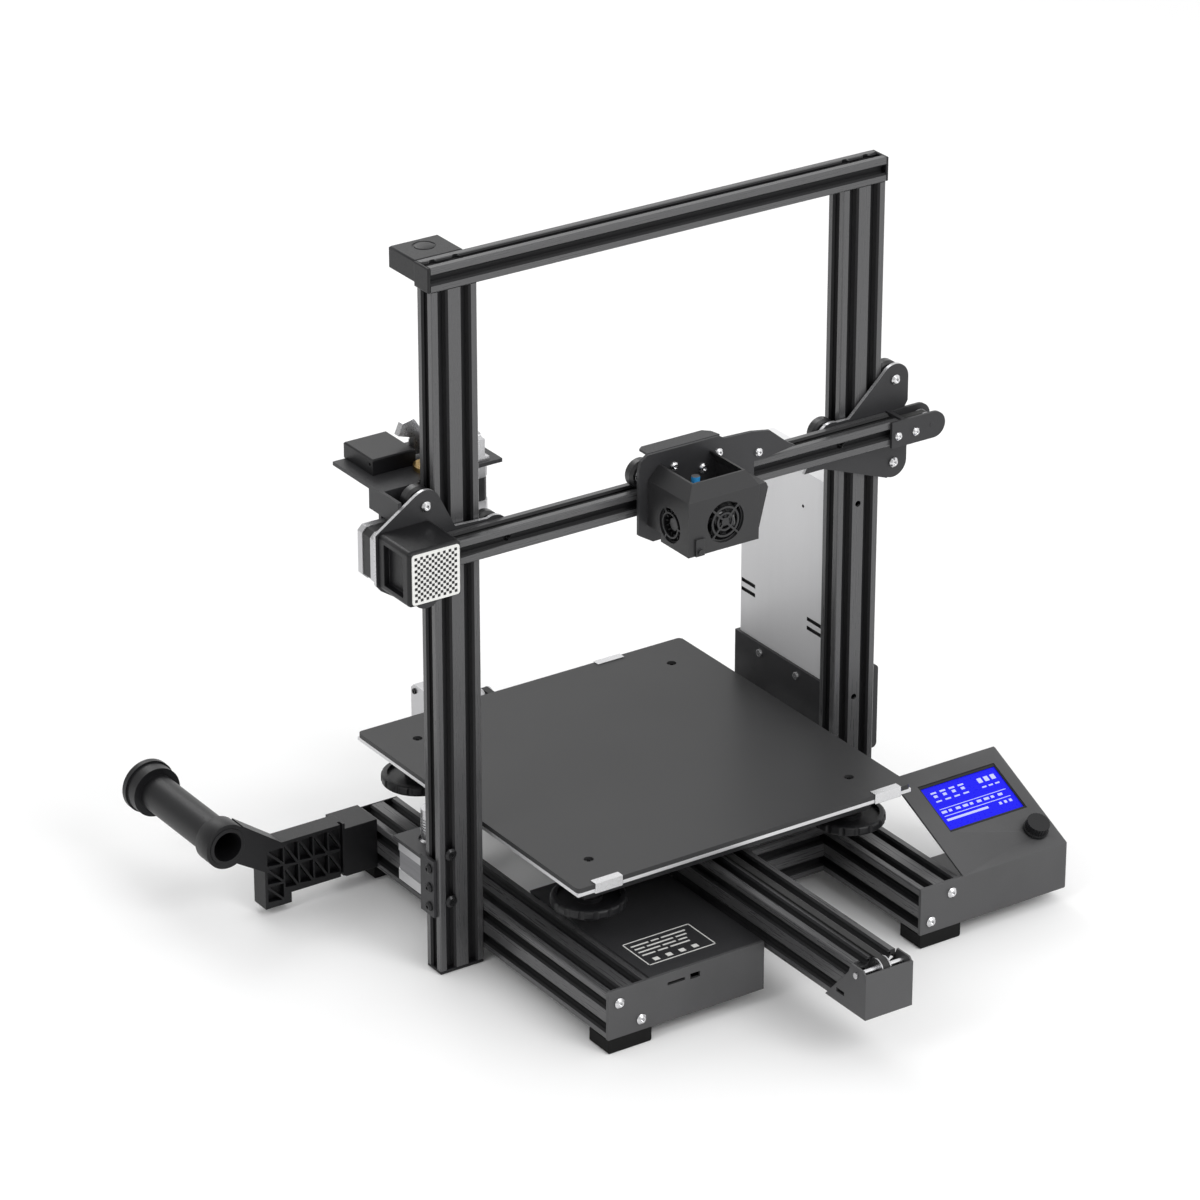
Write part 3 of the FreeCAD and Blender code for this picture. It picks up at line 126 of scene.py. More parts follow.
class Solid:
    """Collects closed shapes and turns them into one piece."""

    def __init__(self):
        self.mesh = bmesh.new()

    def skin(self, rings, looped=False):
        """Joins rings of points into a closed surface, end to end or round in a loop."""
        rows = [[self.mesh.verts.new(point) for point in ring] for ring in rings]
        followers = rows[1:] + rows[:1] if looped else rows[1:]
        for row, after in zip(rows, followers):
            for i in range(len(row)):
                j = (i + 1) % len(row)
                self.mesh.faces.new((row[i], row[j], after[j], after[i]))
        if not looped:
            self.mesh.faces.new(rows[0][::-1])
            self.mesh.faces.new(rows[-1])

    def block(self, x, y, z, place=HERE):
        outline = ((x[0], y[0]), (x[1], y[0]), (x[1], y[1]), (x[0], y[1]))
        self.skin([[place @ Vector((u, v, w)) for u, v in outline] for w in z])

    def lathe(self, profile, place=HERE, sides=28, looped=False):
        """Turns (radius, height) points about the z axis of place."""
        turns = [math.tau * i / sides for i in range(sides)]
        rings = [
            [place @ Vector((radius * math.cos(turn), radius * math.sin(turn), height)) for turn in turns]
            for radius, height in profile
        ]
        self.skin(rings, looped)

    def rod(self, start, end, radius, chamfer=0.0, sides=20):
        length = (Vector(end) - Vector(start)).length
        profile = [(radius, 0), (radius, length)]
        if chamfer:
            profile = [(radius - chamfer, 0), (radius, chamfer), (radius, length - chamfer),
                       (radius - chamfer, length)]
        self.lathe(profile, aimed(start, end), sides)

    def socket_head(self, start, end, radius):
        """A round screw head with a hexagon socket in its far end."""
        height = (Vector(end) - Vector(start)).length
        socket, floor = radius * 0.5, height * 0.4
        profile = [(radius, 0), (radius, height * 0.75), (radius * 0.9, height), (socket, height),
                   (socket, floor), (radius * 0.01, floor)]
        self.lathe(profile, aimed(start, end), 18)

    def coil(self, foot, top, radius, wire, turns, sides=8):
        """A compression spring whose end turns close up."""
        closing, steps_per_turn = 0.35, 20
        length = (Vector(top) - Vector(foot)).length
        place = aimed(foot, top)
        steps = int(turns * steps_per_turn)
        rings = []
        for i in range(steps + 1):
            t = i / steps
            rise = (t - 0.5) * (1 - closing * abs(2 * t - 1)) / (1 - closing) + 0.5
            angle = math.tau * turns * t
            outward = Vector((math.cos(angle), math.sin(angle), 0))
            centre = outward * radius + Vector((0, 0, wire + rise * (length - 2 * wire)))
            rings.append([
                place @ (centre + wire * (outward * math.cos(a) + Vector((0, 0, math.sin(a)))))
                for a in (math.tau * k / sides for k in range(sides))
            ])
        self.skin(rings)

    def piece(self, name, material, body, stands_for=()):
        """Ends the solid as one object that rides on a body, and stands for CAD nodes if asked."""
        bmesh.ops.recalc_face_normals(self.mesh, faces=self.mesh.faces)
        data = bpy.data.meshes.new(name)
        self.mesh.to_mesh(data)
        self.mesh.free()
        data.shade_smooth()
        data.set_sharp_from_angle(angle=math.radians(32))
        data.materials.append(material)
        made = bpy.data.objects.new(name, data)
        bpy.context.scene.collection.objects.link(made)
        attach(made, body)
        if stands_for:
            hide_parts(*stands_for)


# ================================================================== materials
class Shader:
    """A short way to build a material: add nodes, link them and set their values."""

    def __init__(self, name):
        self.material = bpy.data.materials.new(name)
        self.material.use_nodes = True
        self.tree = self.material.node_tree
        self.tree.nodes.clear()
        self.out = self.add("ShaderNodeOutputMaterial")
        self.finish = self.add("ShaderNodeBsdfPrincipled")
        self.link(self.finish, "BSDF", self.out, "Surface")
        self.coords = self.add("ShaderNodeTexCoord")

    def add(self, kind, **values):
        node = self.tree.nodes.new(kind)
        for key, value in values.items():
            if key in node.inputs:
                node.inputs[key].default_value = value
            else:
                setattr(node, key, value)
        return node

    def link(self, source, output, target, socket):
        self.tree.links.new(source.outputs[output], target.inputs[socket])

    def noise(self, scale, detail, stretch=(1, 1, 1)):
        """Noise in object coordinates, scaled per axis for grain that runs one way."""
        mapping = self.add("ShaderNodeMapping")
        mapping.inputs["Scale"].default_value = stretch
        self.link(self.coords, "Object", mapping, "Vector")
        node = self.add("ShaderNodeTexNoise", Scale=scale, Detail=detail)
        self.link(mapping, "Vector", node, "Vector")
        return node

    def ramp(self, source, output, start, end):
        """Grey levels that run from one (position, value) to another."""
        node = self.add("ShaderNodeValToRGB")
        self.link(source, output, node, "Fac")
        for element, (position, value) in zip(node.color_ramp.elements, (start, end)):
            element.position = position
            element.color = (value, value, value, 1.0)
        return node

    def mix(self, factor, first, second):
        """Blends two colours by a colour node's value."""
        node = self.add("ShaderNodeMix", data_type="RGBA")
        self.link(factor, "Color", node, 0)
        for index, value in ((6, first), (7, second)):
            if isinstance(value, tuple):
                node.inputs[index].default_value = (*value, 1.0)
            else:
                self.tree.links.new(value, node.inputs[index])
        return node.outputs[2]


def scaled(colour, factor):
    return tuple(min(1.0, channel * factor) for channel in colour)


def wear_and_highlight_colour(colour):
    """The paler colour of an edge, partly rubbed wear and partly a painted highlight; dark finishes lift the
    most.
    """
    lift = 2.2 if sum(colour) < 1.2 else 1.15
    return tuple(channel + 0.03 for channel in scaled(colour, lift))


def surface(name, colour, roughness, metallic=0.0, vary=0.12, grain=400.0, stretch=(1, 1, 1),
            bump=0.02, edge_wear_and_highlight=0.35, edge=0.4, specular=0.5):
    """Base colour with broad variation, rough patches, a fine bump and paler edges, partly wear and partly a
    painted highlight.
    """
    made = Shader(name)
    broad = made.noise(14.0, 5.0, stretch)
    fine = made.noise(grain, 3.0, stretch)
    relief = made.add("ShaderNodeBump", Strength=bump * 10, Distance=0.0002)
    made.link(fine, "Fac", relief, "Height")
    made.link(relief, "Normal", made.finish, "Normal")
    tone = made.ramp(broad, "Fac", (0.3, 0.0), (0.7, 1.0))
    base = made.mix(tone, scaled(colour, 1 - vary), scaled(colour, 1 + vary))
    # Paler edges from the bevel mask: partly wear, partly a painted highlight.
    if edge_wear_and_highlight:
        bevel = made.add("ShaderNodeBevel", samples=4, Radius=edge * MM)
        geometry = made.add("ShaderNodeNewGeometry")
        agreement = made.add("ShaderNodeVectorMath", operation="DOT_PRODUCT")
        made.link(bevel, "Normal", agreement, 0)
        made.link(geometry, "Normal", agreement, 1)
        made.link(bevel, "Normal", relief, "Normal")
        wear_and_highlight = made.ramp(agreement, "Value", (0.80, edge_wear_and_highlight), (0.985, 0.0))
        base = made.mix(wear_and_highlight, base, wear_and_highlight_colour(colour))
    made.tree.links.new(base, made.finish.inputs["Base Color"])
    spread = made.ramp(fine, "Fac", (0.25, roughness - 0.07), (0.75, roughness + 0.07))
    made.link(spread, "Color", made.finish, "Roughness")
    made.finish.inputs["Metallic"].default_value = metallic
    made.finish.inputs["Specular IOR Level"].default_value = specular
    return made.material


ANODISED = {
    axis: surface("anodised_" + axis, (0.068, 0.068, 0.070), 0.30, 0.2, vary=0.04, grain=900.0,
                  stretch=stretch, bump=0.002, edge_wear_and_highlight=0.5, edge=0.5, specular=0.7)
    for axis, stretch in (("x", (0.04, 1, 1)), ("y", (1, 0.04, 1)), ("z", (1, 1, 0.04)))
}
# Near-black painted shade for slots and hollows, in the material named slot.
PAINTED_SHADE = surface("slot", (0.010, 0.010, 0.011), 0.5, 0.1, grain=900.0, edge_wear_and_highlight=0.15, edge=0.3, specular=0.3)
POWDER_COAT = surface("powder_coat", (0.027, 0.027, 0.029), 0.46, 0.1, grain=1600.0, bump=0.05,
                      specular=0.4)
SHROUD_COAT = surface("shroud_coat", (0.016, 0.016, 0.017), 0.42, 0.1, grain=1600.0, bump=0.05, edge_wear_and_highlight=0.6)
PANEL_COAT = surface("panel_coat", (0.066, 0.066, 0.068), 0.5, 0.15, grain=1600.0, bump=0.05)
BLACK_PLASTIC = surface("black_plastic", (0.006, 0.006, 0.007), 0.42, grain=1200.0, bump=0.04, specular=0.35)
SATIN_PLASTIC = surface("satin_plastic", (0.014, 0.014, 0.015), 0.32, grain=900.0, edge_wear_and_highlight=0.3)
WHITE_PLASTIC = surface("white_plastic", (0.72, 0.72, 0.70), 0.4, vary=0.04, grain=900.0, edge_wear_and_highlight=0.1)
RUBBER = surface("rubber", (0.004, 0.004, 0.004), 0.75, grain=1500.0, bump=0.06, edge_wear_and_highlight=0.15, specular=0.2)
BELT = surface("belt", (0.012, 0.012, 0.012), 0.65, grain=1500.0, bump=0.06, edge_wear_and_highlight=0.1)
STEEL = surface("steel", (0.66, 0.66, 0.67), 0.24, 1.0, vary=0.05, grain=900.0, bump=0.004, edge_wear_and_highlight=0.15)
BLACK_BOLT = surface("black_bolt", (0.020, 0.020, 0.021), 0.3, 0.6, grain=900.0, edge_wear_and_highlight=0.5, edge=0.3)
# Bare cut metal with a painted highlight on every edge of the plates.
CUT_EDGE_HIGHLIGHT = surface("cut_edge_highlight", (0.52, 0.52, 0.53), 0.3, 0.6, vary=0.1, grain=700.0, edge_wear_and_highlight=0.2)
ZINC = surface("zinc", (0.72, 0.72, 0.73), 0.42, 0.35, vary=0.04, grain=500.0, stretch=(1, 1, 0.05),
               edge_wear_and_highlight=0.3)
# A paler copy of zinc: painted light on the power supply's top face.
LIT_TOP_ZINC = surface("lit_top_zinc", (0.86, 0.86, 0.87), 0.4, 0.2, vary=0.03, grain=500.0, edge_wear_and_highlight=0.1)
MACHINED = surface("machined", (0.50, 0.50, 0.51), 0.3, 1.0, vary=0.05, grain=900.0, edge_wear_and_highlight=0.2)
MOTOR_CAP = surface("motor_cap", (0.50, 0.50, 0.51), 0.34, 0.9, vary=0.08, grain=800.0, edge_wear_and_highlight=0.2)
COOLER = surface("cooler", (0.10, 0.10, 0.105), 0.45, 0.6, vary=0.05, grain=900.0, edge_wear_and_highlight=0.2)
MOTOR_CORE = surface("motor_core", (0.018, 0.018, 0.019), 0.5, 0.2, grain=900.0, stretch=(1, 1, 12))
MOTOR_PLATES = surface("motor_plates", (0.20, 0.20, 0.21), 0.45, 0.4, grain=900.0, stretch=(1, 1, 12))
BRASS = surface("brass", (0.50, 0.34, 0.13), 0.32, 1.0, vary=0.08, grain=700.0, edge_wear_and_highlight=0.2)
BOARD = surface("board", (0.006, 0.035, 0.018), 0.4, grain=600.0)
BED_SHEET = surface("bed_sheet", (0.043, 0.043, 0.044), 0.36, vary=0.03, grain=2500.0, edge_wear_and_highlight=0.0,
                    specular=0.16)
BED_EDGE = surface("bed_edge", (0.70, 0.70, 0.71), 0.35, 0.6, vary=0.06, grain=700.0, stretch=(1, 1, 9))
SCREEN = surface("screen", (0.006, 0.006, 0.80), 0.3, vary=0.04, edge_wear_and_highlight=0.0, specular=0.15)
READOUT = surface("readout", (0.52, 0.56, 0.95), 0.3, vary=0.03, edge_wear_and_highlight=0.0, specular=0.2)
CLIP_BLUE = surface("clip_blue", (0.04, 0.32, 0.72), 0.35, vary=0.06, edge_wear_and_highlight=0.1)


# ================================================================== finishes of the CAD nodes
def dress(names, material):
    for name in names.split():
        mesh = NODES[name].data
        mesh.materials.clear()
        mesh.materials.append(material)


def paint(name, material, faces):
    """Gives these faces of a CAD node another material."""
    mesh = NODES[name].data
    mesh.materials.append(material)
    slot = len(mesh.materials) - 1
    for face in faces:
        face.material_index = slot


def paint_where(name, material, test):
    """Gives another material to the faces whose centre and normal pass a test."""
    paint(name, material, [face for face in NODES[name].data.polygons if test(face.center, face.normal)])


class Lump:
    """One separate solid of a CAD node: its faces and the corners of its box."""

    def __init__(self, mesh, faces):
        self.faces = faces
        points = [mesh.vertices[index].co for face in faces for index in face.vertices]
        self.low = Vector([min(point[axis] for point in points) for axis in range(3)])
        self.high = Vector([max(point[axis] for point in points) for axis in range(3)])
        self.middle = (self.low + self.high) / 2
        self.size = self.high - self.low


def lumps(name):
    """The separate solids of a CAD node, found by following faces that share a corner."""
    mesh = NODES[name].data
    corner = [tuple(round(value, 6) for value in vertex.co) for vertex in mesh.vertices]
    parent = {key: key for key in corner}

    def root(key):
        while parent[key] != key:
            parent[key] = parent[parent[key]]
            key = parent[key]
        return key

    for face in mesh.polygons:
        first = root(corner[face.vertices[0]])
        for index in face.vertices[1:]:
            parent[root(corner[index])] = first
    groups = {}
    for face in mesh.polygons:
        groups.setdefault(root(corner[face.vertices[0]]), []).append(face)
    return [Lump(mesh, faces) for faces in groups.values()]


def paint_slot_shade(name, along):
    """Paints everything below an extrusion's outer skin near-black, as painted shade in its slots."""
    across = [axis for axis in range(3) if axis != along]
    shaded = []
    for lump in lumps(name):
        for face in lump.faces:
            depth = min(
                min(face.center[axis] - lump.low[axis], lump.high[axis] - face.center[axis])
                for axis in across
            )
            if depth > 0.5 * MM and abs(face.normal[along]) < 0.5:
                shaded.append(face)
    paint(name, PAINTED_SHADE, shaded)


def motor_axis(lump):
    """A motor's body is square across its shaft, so the odd side out is its length."""
    x, y, z = lump.size
    gaps = {0: abs(y - z), 1: abs(x - z), 2: abs(x - y)}
    return min(gaps, key=gaps.get)


def paint_motors(name, material):
    """Darker laminations between a motor's bright end caps."""
    core = []
    for lump in lumps(name):
        along = motor_axis(lump)
        for face in lump.faces:
            level = (face.center[along] - lump.low[along]) / lump.size[along]
            if 0.2 < level < 0.8 and abs(face.normal[along]) < 0.5:
                core.append(face)
    paint(name, material, core)


def paint_wheel_bolts(name, along):
    """Bright bolts and spacers through dark wheels."""
    across = 2 if along == 1 else 0
    small = [lump for lump in lumps(name) if lump.size[across] < 12 * MM]
    paint(name, STEEL, [face for lump in small for face in lump.faces])


def paint_bracket_bolts():
    """Black bolts in the Z motor's bracket, at the foot of the left upright."""
    left_edge = node_box("uprights")[0].x
    dark = []
    for lump in lumps("frame_screws"):
        x, y, z = lump.middle
        if x < left_edge + 30 * MM and z < 120 * MM and y > -10 * MM:
            dark += lump.faces
    paint("frame_screws", BLACK_BOLT, dark)


def paint_plates():
    """Lighter edges on the gantry's plates, bare cut metal with a painted highlight, and bright bolt heads
    on the coated ones.
    """
    for name in ("z_plate_left", "z_plate_right"):
        paint_where(name, CUT_EDGE_HIGHLIGHT, lambda centre, normal: abs(normal.y) < 0.5)
    for name in ("head_plate", "x_tensioner"):
        plate = node_box(name)[0].y + BOLT_HEAD
        paint_where(name, STEEL, lambda centre, normal: centre.y < plate - 0.3 * MM)


def paint_power_supply():
    """A painted highlight on the top, painted shade inside and bright screws in the cover."""
    low, high = node_box("psu_case")
    screws = node_box("psu_cover")[0].x + 1.35 * MM

    def inside(centre, normal):
        within_x = low.x + PSU_SKIN < centre.x < high.x - PSU_SKIN
        within_y = low.y + PSU_SKIN < centre.y < high.y - PSU_SKIN
        return within_x and within_y and centre.z < high.z - PSU_SKIN

    # Painted light: the top face is paler than the sides.
    paint_where("psu_case", LIT_TOP_ZINC, lambda centre, normal: centre.z > high.z - 0.1 * MM)
    # Painted shade on the case's inner faces.
    paint_where("psu_case", PAINTED_SHADE, inside)
    paint_where("psu_cover", STEEL, lambda centre, normal: centre.x < screws)


def paint_display():
    """A black bezel round a blue screen."""
    bezel = flat_face("lcd_module", SLOPE)

    def on_glass(centre, normal):
        level = bezel.height_of(centre) + GLASS_DROP
        return normal.dot(bezel.normal) > 0.9 and abs(level) < 0.1 * MM

    paint_where("lcd_module", BLACK_PLASTIC, lambda centre, normal: bezel.height_of(centre) > -6 * MM)
    paint_where("lcd_module", SCREEN, on_glass)


def paint_hot_end():
    paint_where("hot_end", CLIP_BLUE, lambda centre, normal: CLIP_BAND[0] < centre.z < CLIP_BAND[1])
    paint_where("hot_end", BRASS, lambda centre, normal: centre.z < NOZZLE_TOP)


def dress_all():
    dress("side_rails y_rail", ANODISED["y"])
    dress("cross_beams top_beam x_beam", ANODISED["x"])
    dress("uprights", ANODISED["z"])
    dress("electronics_lid psu_cover z_plate_left z_plate_right head_plate "
          "y_carriage extruder_bracket motor_brackets x_tensioner", POWDER_COAT)
    dress("fan_shroud", SHROUD_COAT)
    dress("display_housing electronics_case y_tensioner", PANEL_COAT)
    dress("end_caps spool_arm spool_tube screw_top_block x_motor_cover filament_sensor "
          "encoder_knob power_switch level_knob_front_left level_knob_front_right "
          "level_knob_rear_left level_knob_rear_right", BLACK_PLASTIC)
    dress("hotend_fan part_fan z_wheels head_wheels y_wheels", SATIN_PLASTIC)
    dress("feet", RUBBER)
    dress("x_belt y_belt", BELT)
    dress("frame_screws bed_springs bed_clips lead_screw encoder_shaft", STEEL)
    dress("base_motors gantry_motors", MOTOR_CAP)
    dress("psu_case", ZINC)
    dress("main_board lcd_module", BOARD)
    dress("x_motor_pulley x_idler_pulley y_motor_pulley y_idler_pulley extruder_block "
          "extruder_lever extruder_gear", MACHINED)
    dress("hot_end", COOLER)
    dress("lead_nut", BRASS)
    dress("heated_bed", BED_EDGE)
    dress("build_plate", BED_SHEET)


def paint_all():
    for name, along in (("side_rails", 1), ("y_rail", 1), ("cross_beams", 0), ("top_beam", 0),
                        ("x_beam", 0), ("uprights", 2)):
        paint_slot_shade(name, along)
    paint_motors("base_motors", MOTOR_PLATES)
    paint_motors("gantry_motors", MOTOR_CORE)
    for name, along in (("z_wheels", 1), ("head_wheels", 1), ("y_wheels", 2)):
        paint_wheel_bolts(name, along)
    paint_bracket_bolts()
    paint_plates()
    paint_power_supply()
    paint_display()
    paint_hot_end()


def soften(names, width):
    """A small real radius on the edges of pressed or moulded sub-parts."""
    for name in names.split():
        weld = NODES[name].modifiers.new("weld", "WELD")
        weld.merge_threshold = 0.002 * MM
        flatten = NODES[name].modifiers.new("flatten", "DECIMATE")
        flatten.decimate_type = "DISSOLVE"
        flatten.angle_limit = math.radians(0.5)
        bevel = NODES[name].modifiers.new("bevel", "BEVEL")
        bevel.width = width * MM
        bevel.segments = 2
        bevel.limit_method = "ANGLE"
        bevel.angle_limit = math.radians(40)
        bevel.use_clamp_overlap = True


# ================================================================== pieces made here
def bed_hardware():
    """Coil springs and countersunk screws between the carriage and the bed."""
    foot, top = node_box("y_carriage")[1].z, node_box("heated_bed")[0].z
    head_top = node_box("bed_springs")[1].z
    coils, screws = Solid(), Solid()
    for corner in CORNERS:
        low, high = node_box("level_knob_" + corner)
        x, y = (low.x + high.x) / 2, (low.y + high.y) / 2
        coils.coil((x, y, foot), (x, y, top), 4.5 * MM, 0.6 * MM, 5)
        screws.rod((x, y, low.z - 3 * MM), (x, y, head_top - 2 * MM), 2.0 * MM, 0.3 * MM)
        screws.socket_head((x, y, head_top - 2.4 * MM), (x, y, head_top), 3.6 * MM)
    coils.piece("bed_coils", STEEL, "bed", ["bed_springs"])
    screws.piece("bed_screws", BLACK_BOLT, "bed", ["bed_springs"])


def thread_ring(x, y, z, sides=24):
    """One cut through a four-start screw thread."""
    ring = []
    for i in range(sides):
        phase = z / THREAD_PITCH - THREAD_STARTS * i / sides
        flank = min(1.0, max(0.0, abs((phase % 1.0) - 0.5) * 4 - 0.5))
        radius = THREAD_R - THREAD_DEPTH * flank
        angle = math.tau * i / sides
        ring.append((x + radius * math.cos(angle), y + radius * math.sin(angle), z))
    return ring


def lead_thread(x, y, top):
    rise = 0.5 * MM
    steps = int((top - THREAD_FOOT) / rise) + 1
    screw = Solid()
    screw.skin([thread_ring(x, y, THREAD_FOOT + step * rise) for step in range(steps)])
    screw.piece("lead_thread", STEEL, "lead_screw", ["lead_screw"])


def shaft_coupler(x, y, shaft_foot):
    """A coupler with five flexing grooves and two set screws, on the motor's shaft."""
    foot, top = COUPLER
    chamfer = 0.6 * MM
    profile = [(COUPLER_R - chamfer, foot), (COUPLER_R, foot + chamfer)]
    for i in range(5):
        low = foot + (7.5 + 2.4 * i) * MM
        high = low + 0.8 * MM
        profile += [(COUPLER_R, low), (COUPLER_CUT_R, low), (COUPLER_CUT_R, high), (COUPLER_R, high)]
    profile += [(COUPLER_R, top - chamfer), (COUPLER_R - chamfer, top)]
    coupler = Solid()
    coupler.lathe(profile, Matrix.Translation((x, y, 0)), 36)
    coupler.rod((x, y, shaft_foot), (x, y, foot + 1 * MM), 2.5 * MM)
    for z in (foot + 4 * MM, top - 4 * MM):
        coupler.socket_head((x, y - 8 * MM, z), (x, y - 9.45 * MM, z), 1.9 * MM)
    coupler.piece("shaft_coupler", MACHINED, "lead_screw", ["lead_screw"])


def lead_screw():
    low, high = node_box("lead_screw")
    x, y = (low.x + high.x) / 2, (low.y + high.y) / 2
    lead_thread(x, y, high.z)
    shaft_coupler(x, y, low.z)


def fan_blade(number, low, high):
    """Rings of a swept blade from the hub outwards, each a thin slice at one radius."""
    middle = (low + high) / 2
    inner, outer = 6.6 * MM, min(high.x - low.x, high.z - low.z) / 2 - 0.2 * MM
    thick, last = 0.45 * MM, 5
    rings = []
    for step in range(last + 1):
        t = step / last
        radius = inner + (outer - inner) * t
        lead = math.tau * number / FAN_BLADES + 0.35 * t * t
        sweep = 0.84 - 0.10 * t
        ends = ((lead, low.y + 1.6 * MM), (lead + sweep, high.y - 0.6 * MM))
        rings.append([
            (middle.x + radius * math.cos(angle), depth + side * thick, middle.z + radius * math.sin(angle))
            for side, order in ((-1, ends), (1, ends[::-1]))
            for angle, depth in order
        ])
    return rings


def fan_rotor():
    """Seven swept blades round the hub of the hot end's fan."""
    low, high = node_box("hotend_fan")
    middle = (low + high) / 2
    rotor = Solid()
    rotor.lathe([(5.6 * MM, 0.2 * MM), (7.0 * MM, 1.2 * MM), (7.0 * MM, 7.2 * MM)],
                aimed((middle.x, low.y, middle.z), (middle.x, high.y, middle.z)), 32)
    for number in range(FAN_BLADES):
        rotor.skin(fan_blade(number, low, high))
    rotor.piece("fan_rotor", SATIN_PLASTIC, "hotend_fan", ["hotend_fan"])


def axial_fan_case(case):
    """The square frame round the hot end's fan, with its hub plate, three struts and a dark disc over the
    back as painted shade behind the blades.
    """
    low, high = node_box("hotend_fan")
    middle = (low + high) / 2
    front, back = node_box("fan_shroud")[0].y + SHROUD_FRONT, high.y + 1.5 * MM
    sides = 40
    turns = [math.tau * (i + 0.5) / sides for i in range(sides)]

    def ring(depth, reach):
        return [
            (middle.x + reach(turn) * math.cos(turn), depth, middle.z + reach(turn) * math.sin(turn))
            for turn in turns
        ]

    def outer(turn):
        edge = FAN_HALF / max(abs(math.cos(turn)), abs(math.sin(turn)))
        return min(edge, FAN_HALF * 1.3)

    def bore(turn):
        return FAN_BORE

    def disc(radius, start, end, sides=28):
        place = aimed((middle.x, high.y + start, middle.z), (middle.x, high.y + end, middle.z))
        case.lathe([(radius, 0), (radius, end - start)], place, sides)

    case.skin([ring(front, outer), ring(back, outer), ring(back, bore), ring(front, bore)], looped=True)
    disc(8.5 * MM, 0.3 * MM, 1.5 * MM)
    # A dark disc closing the back: painted shade where the blades show only shadow.
    disc(15.8 * MM, 1.4 * MM, 2.2 * MM, sides)
    for i in range(3):
        place = Matrix.Translation((middle.x, high.y + 0.3 * MM, middle.z))
        place @= Matrix.Rotation(math.tau * i / 3 + 0.5, 4, "Y")
        case.block((7 * MM, 16 * MM), (0, 1.2 * MM), (-1.5 * MM, 1.5 * MM), place)


def blower_case(case):
    """The round case of the part fan, open at the shroud's side and closed at the other end."""
    low, high = node_box("part_fan")
    middle = (low + high) / 2
    start = node_box("fan_shroud")[0].x + SHROUD_WALL
    end = high.x + 2.0 * MM
    depth = end - start
    inner, outer, hole, wall = 13.0 * MM, 14.6 * MM, 0.5 * MM, 1.2 * MM
    profile = [(inner, 0), (outer, 0), (outer, depth), (hole, depth), (hole, depth - wall),
               (inner, depth - wall)]
    place = aimed((start, middle.y, middle.z), (end, middle.y, middle.z))
    case.lathe(profile, place, 40, looped=True)


def fan_bodies():
    case = Solid()
    axial_fan_case(case)
    blower_case(case)
    case.piece("fan_bodies", SATIN_PLASTIC, "head")


def psu_core():
    """A dark block for the parts that fill the power supply, coloured with painted shade so its slots look
    dark.
    """
    low, high = node_box("psu_case")
    core = Solid()
    core.block(*((low[axis] + PSU_INSET, high[axis] - PSU_INSET) for axis in range(3)))
    core.piece("psu_core", PAINTED_SHADE, "frame")


def bearings():
    """Bright bearing shields on both faces of every wheel."""
    ring = [(5.3 * MM, 0), (7.6 * MM, 0), (7.6 * MM, 0.62 * MM), (5.3 * MM, 0.62 * MM)]
    for name, along, body in (("z_wheels", 1, "gantry"), ("head_wheels", 1, "head"), ("y_wheels", 2, "bed")):
        across = 2 if along == 1 else 0
        wheels = [lump for lump in lumps(name) if lump.size[across] >= 12 * MM]
        shields = Solid()
        for wheel in wheels:
            for end, inward in ((wheel.low[along], 1), (wheel.high[along], -1)):
                start, finish = wheel.middle.copy(), wheel.middle.copy()
                start[along] = end + inward * 0.5 * MM
                finish[along] = end - inward * 0.12 * MM
                shields.lathe(ring, aimed(start, finish), 28, looped=True)
        shields.piece(name + "_shields", STEEL, body)


def belt_teeth(name, along, across, body):
    """Teeth along the straight runs of a belt, on its inner side."""
    low, high = node_box(name)
    bend = (high.z - low.z) / 2
    start, stop = low[along] + bend, high[along] - bend
    lower = (low.z + BELT_BACK, low.z + BELT_BACK + BELT_TOOTH)
    upper = (high.z - BELT_BACK - BELT_TOOTH, high.z - BELT_BACK)
    teeth = Solid()
    for i in range(int((stop - start) / BELT_PITCH)):
        sides = {
            along: (start + (i + 0.25) * BELT_PITCH, start + (i + 0.7) * BELT_PITCH),
            across: (low[across] + 0.15 * MM, high[across] - 0.15 * MM),
        }
        for rise in (lower, upper):
            teeth.block(sides[0], sides[1], rise)
    teeth.piece(name + "_teeth", BELT, body)


def add_cap_screws(screws, lump, along, rear, outward):
    """Four screw heads in the corners of a motor's rear cap."""
    others = [axis for axis in range(3) if axis != along]
    for first in (-1, 1):
        for second in (-1, 1):
            start = lump.middle.copy()
            start[others[0]] += first * 15.5 * MM
            start[others[1]] += second * 15.5 * MM
            start[along] = rear - outward * 0.4 * MM
            end = start.copy()
            end[along] = rear + outward * 1.4 * MM
            screws.socket_head(start, end, 2.6 * MM)


def add_wire_socket(sockets, lump, along, rear, outward):
    """A moulded socket behind an upright motor and below the others."""
    base = lump.middle.copy()
    side = 1 if along == 2 else 2
    away = 1 if along == 2 else -1
    base[side] = lump.high[side] if away > 0 else lump.low[side]
    base[along] = rear - outward * 5.5 * MM
    tip = base.copy()
    tip[side] += away * 5 * MM
    sockets.block((-4.5 * MM, 4.5 * MM), (-2.6 * MM, 2.6 * MM), (-2 * MM, 5 * MM), aimed(base, tip))


def motor_fittings(name, body):
    """Screws and sockets of each motor; the shafts here point up, to the right or to the front."""
    screws, sockets = Solid(), Solid()
    for lump in lumps(name):
        along = motor_axis(lump)
        outward = 1 if along == 1 else -1
        rear = lump.high[along] if outward > 0 else lump.low[along]
        add_cap_screws(screws, lump, along, rear, outward)
        add_wire_socket(sockets, lump, along, rear, outward)
    screws.piece(name + "_screws", BLACK_BOLT, body)
    sockets.piece(name + "_sockets", WHITE_PLASTIC, body)


# ================================================================== marks, none of them lettering
def tile(solid, flat, x, y, thickness):
    """A thin plate standing on a flat face, placed by local coordinates in millimetres."""
    width = [value * MM for value in x]
    height = [value * MM for value in y]
    solid.block(width, height, (-0.05 * MM, thickness * MM), flat.place)


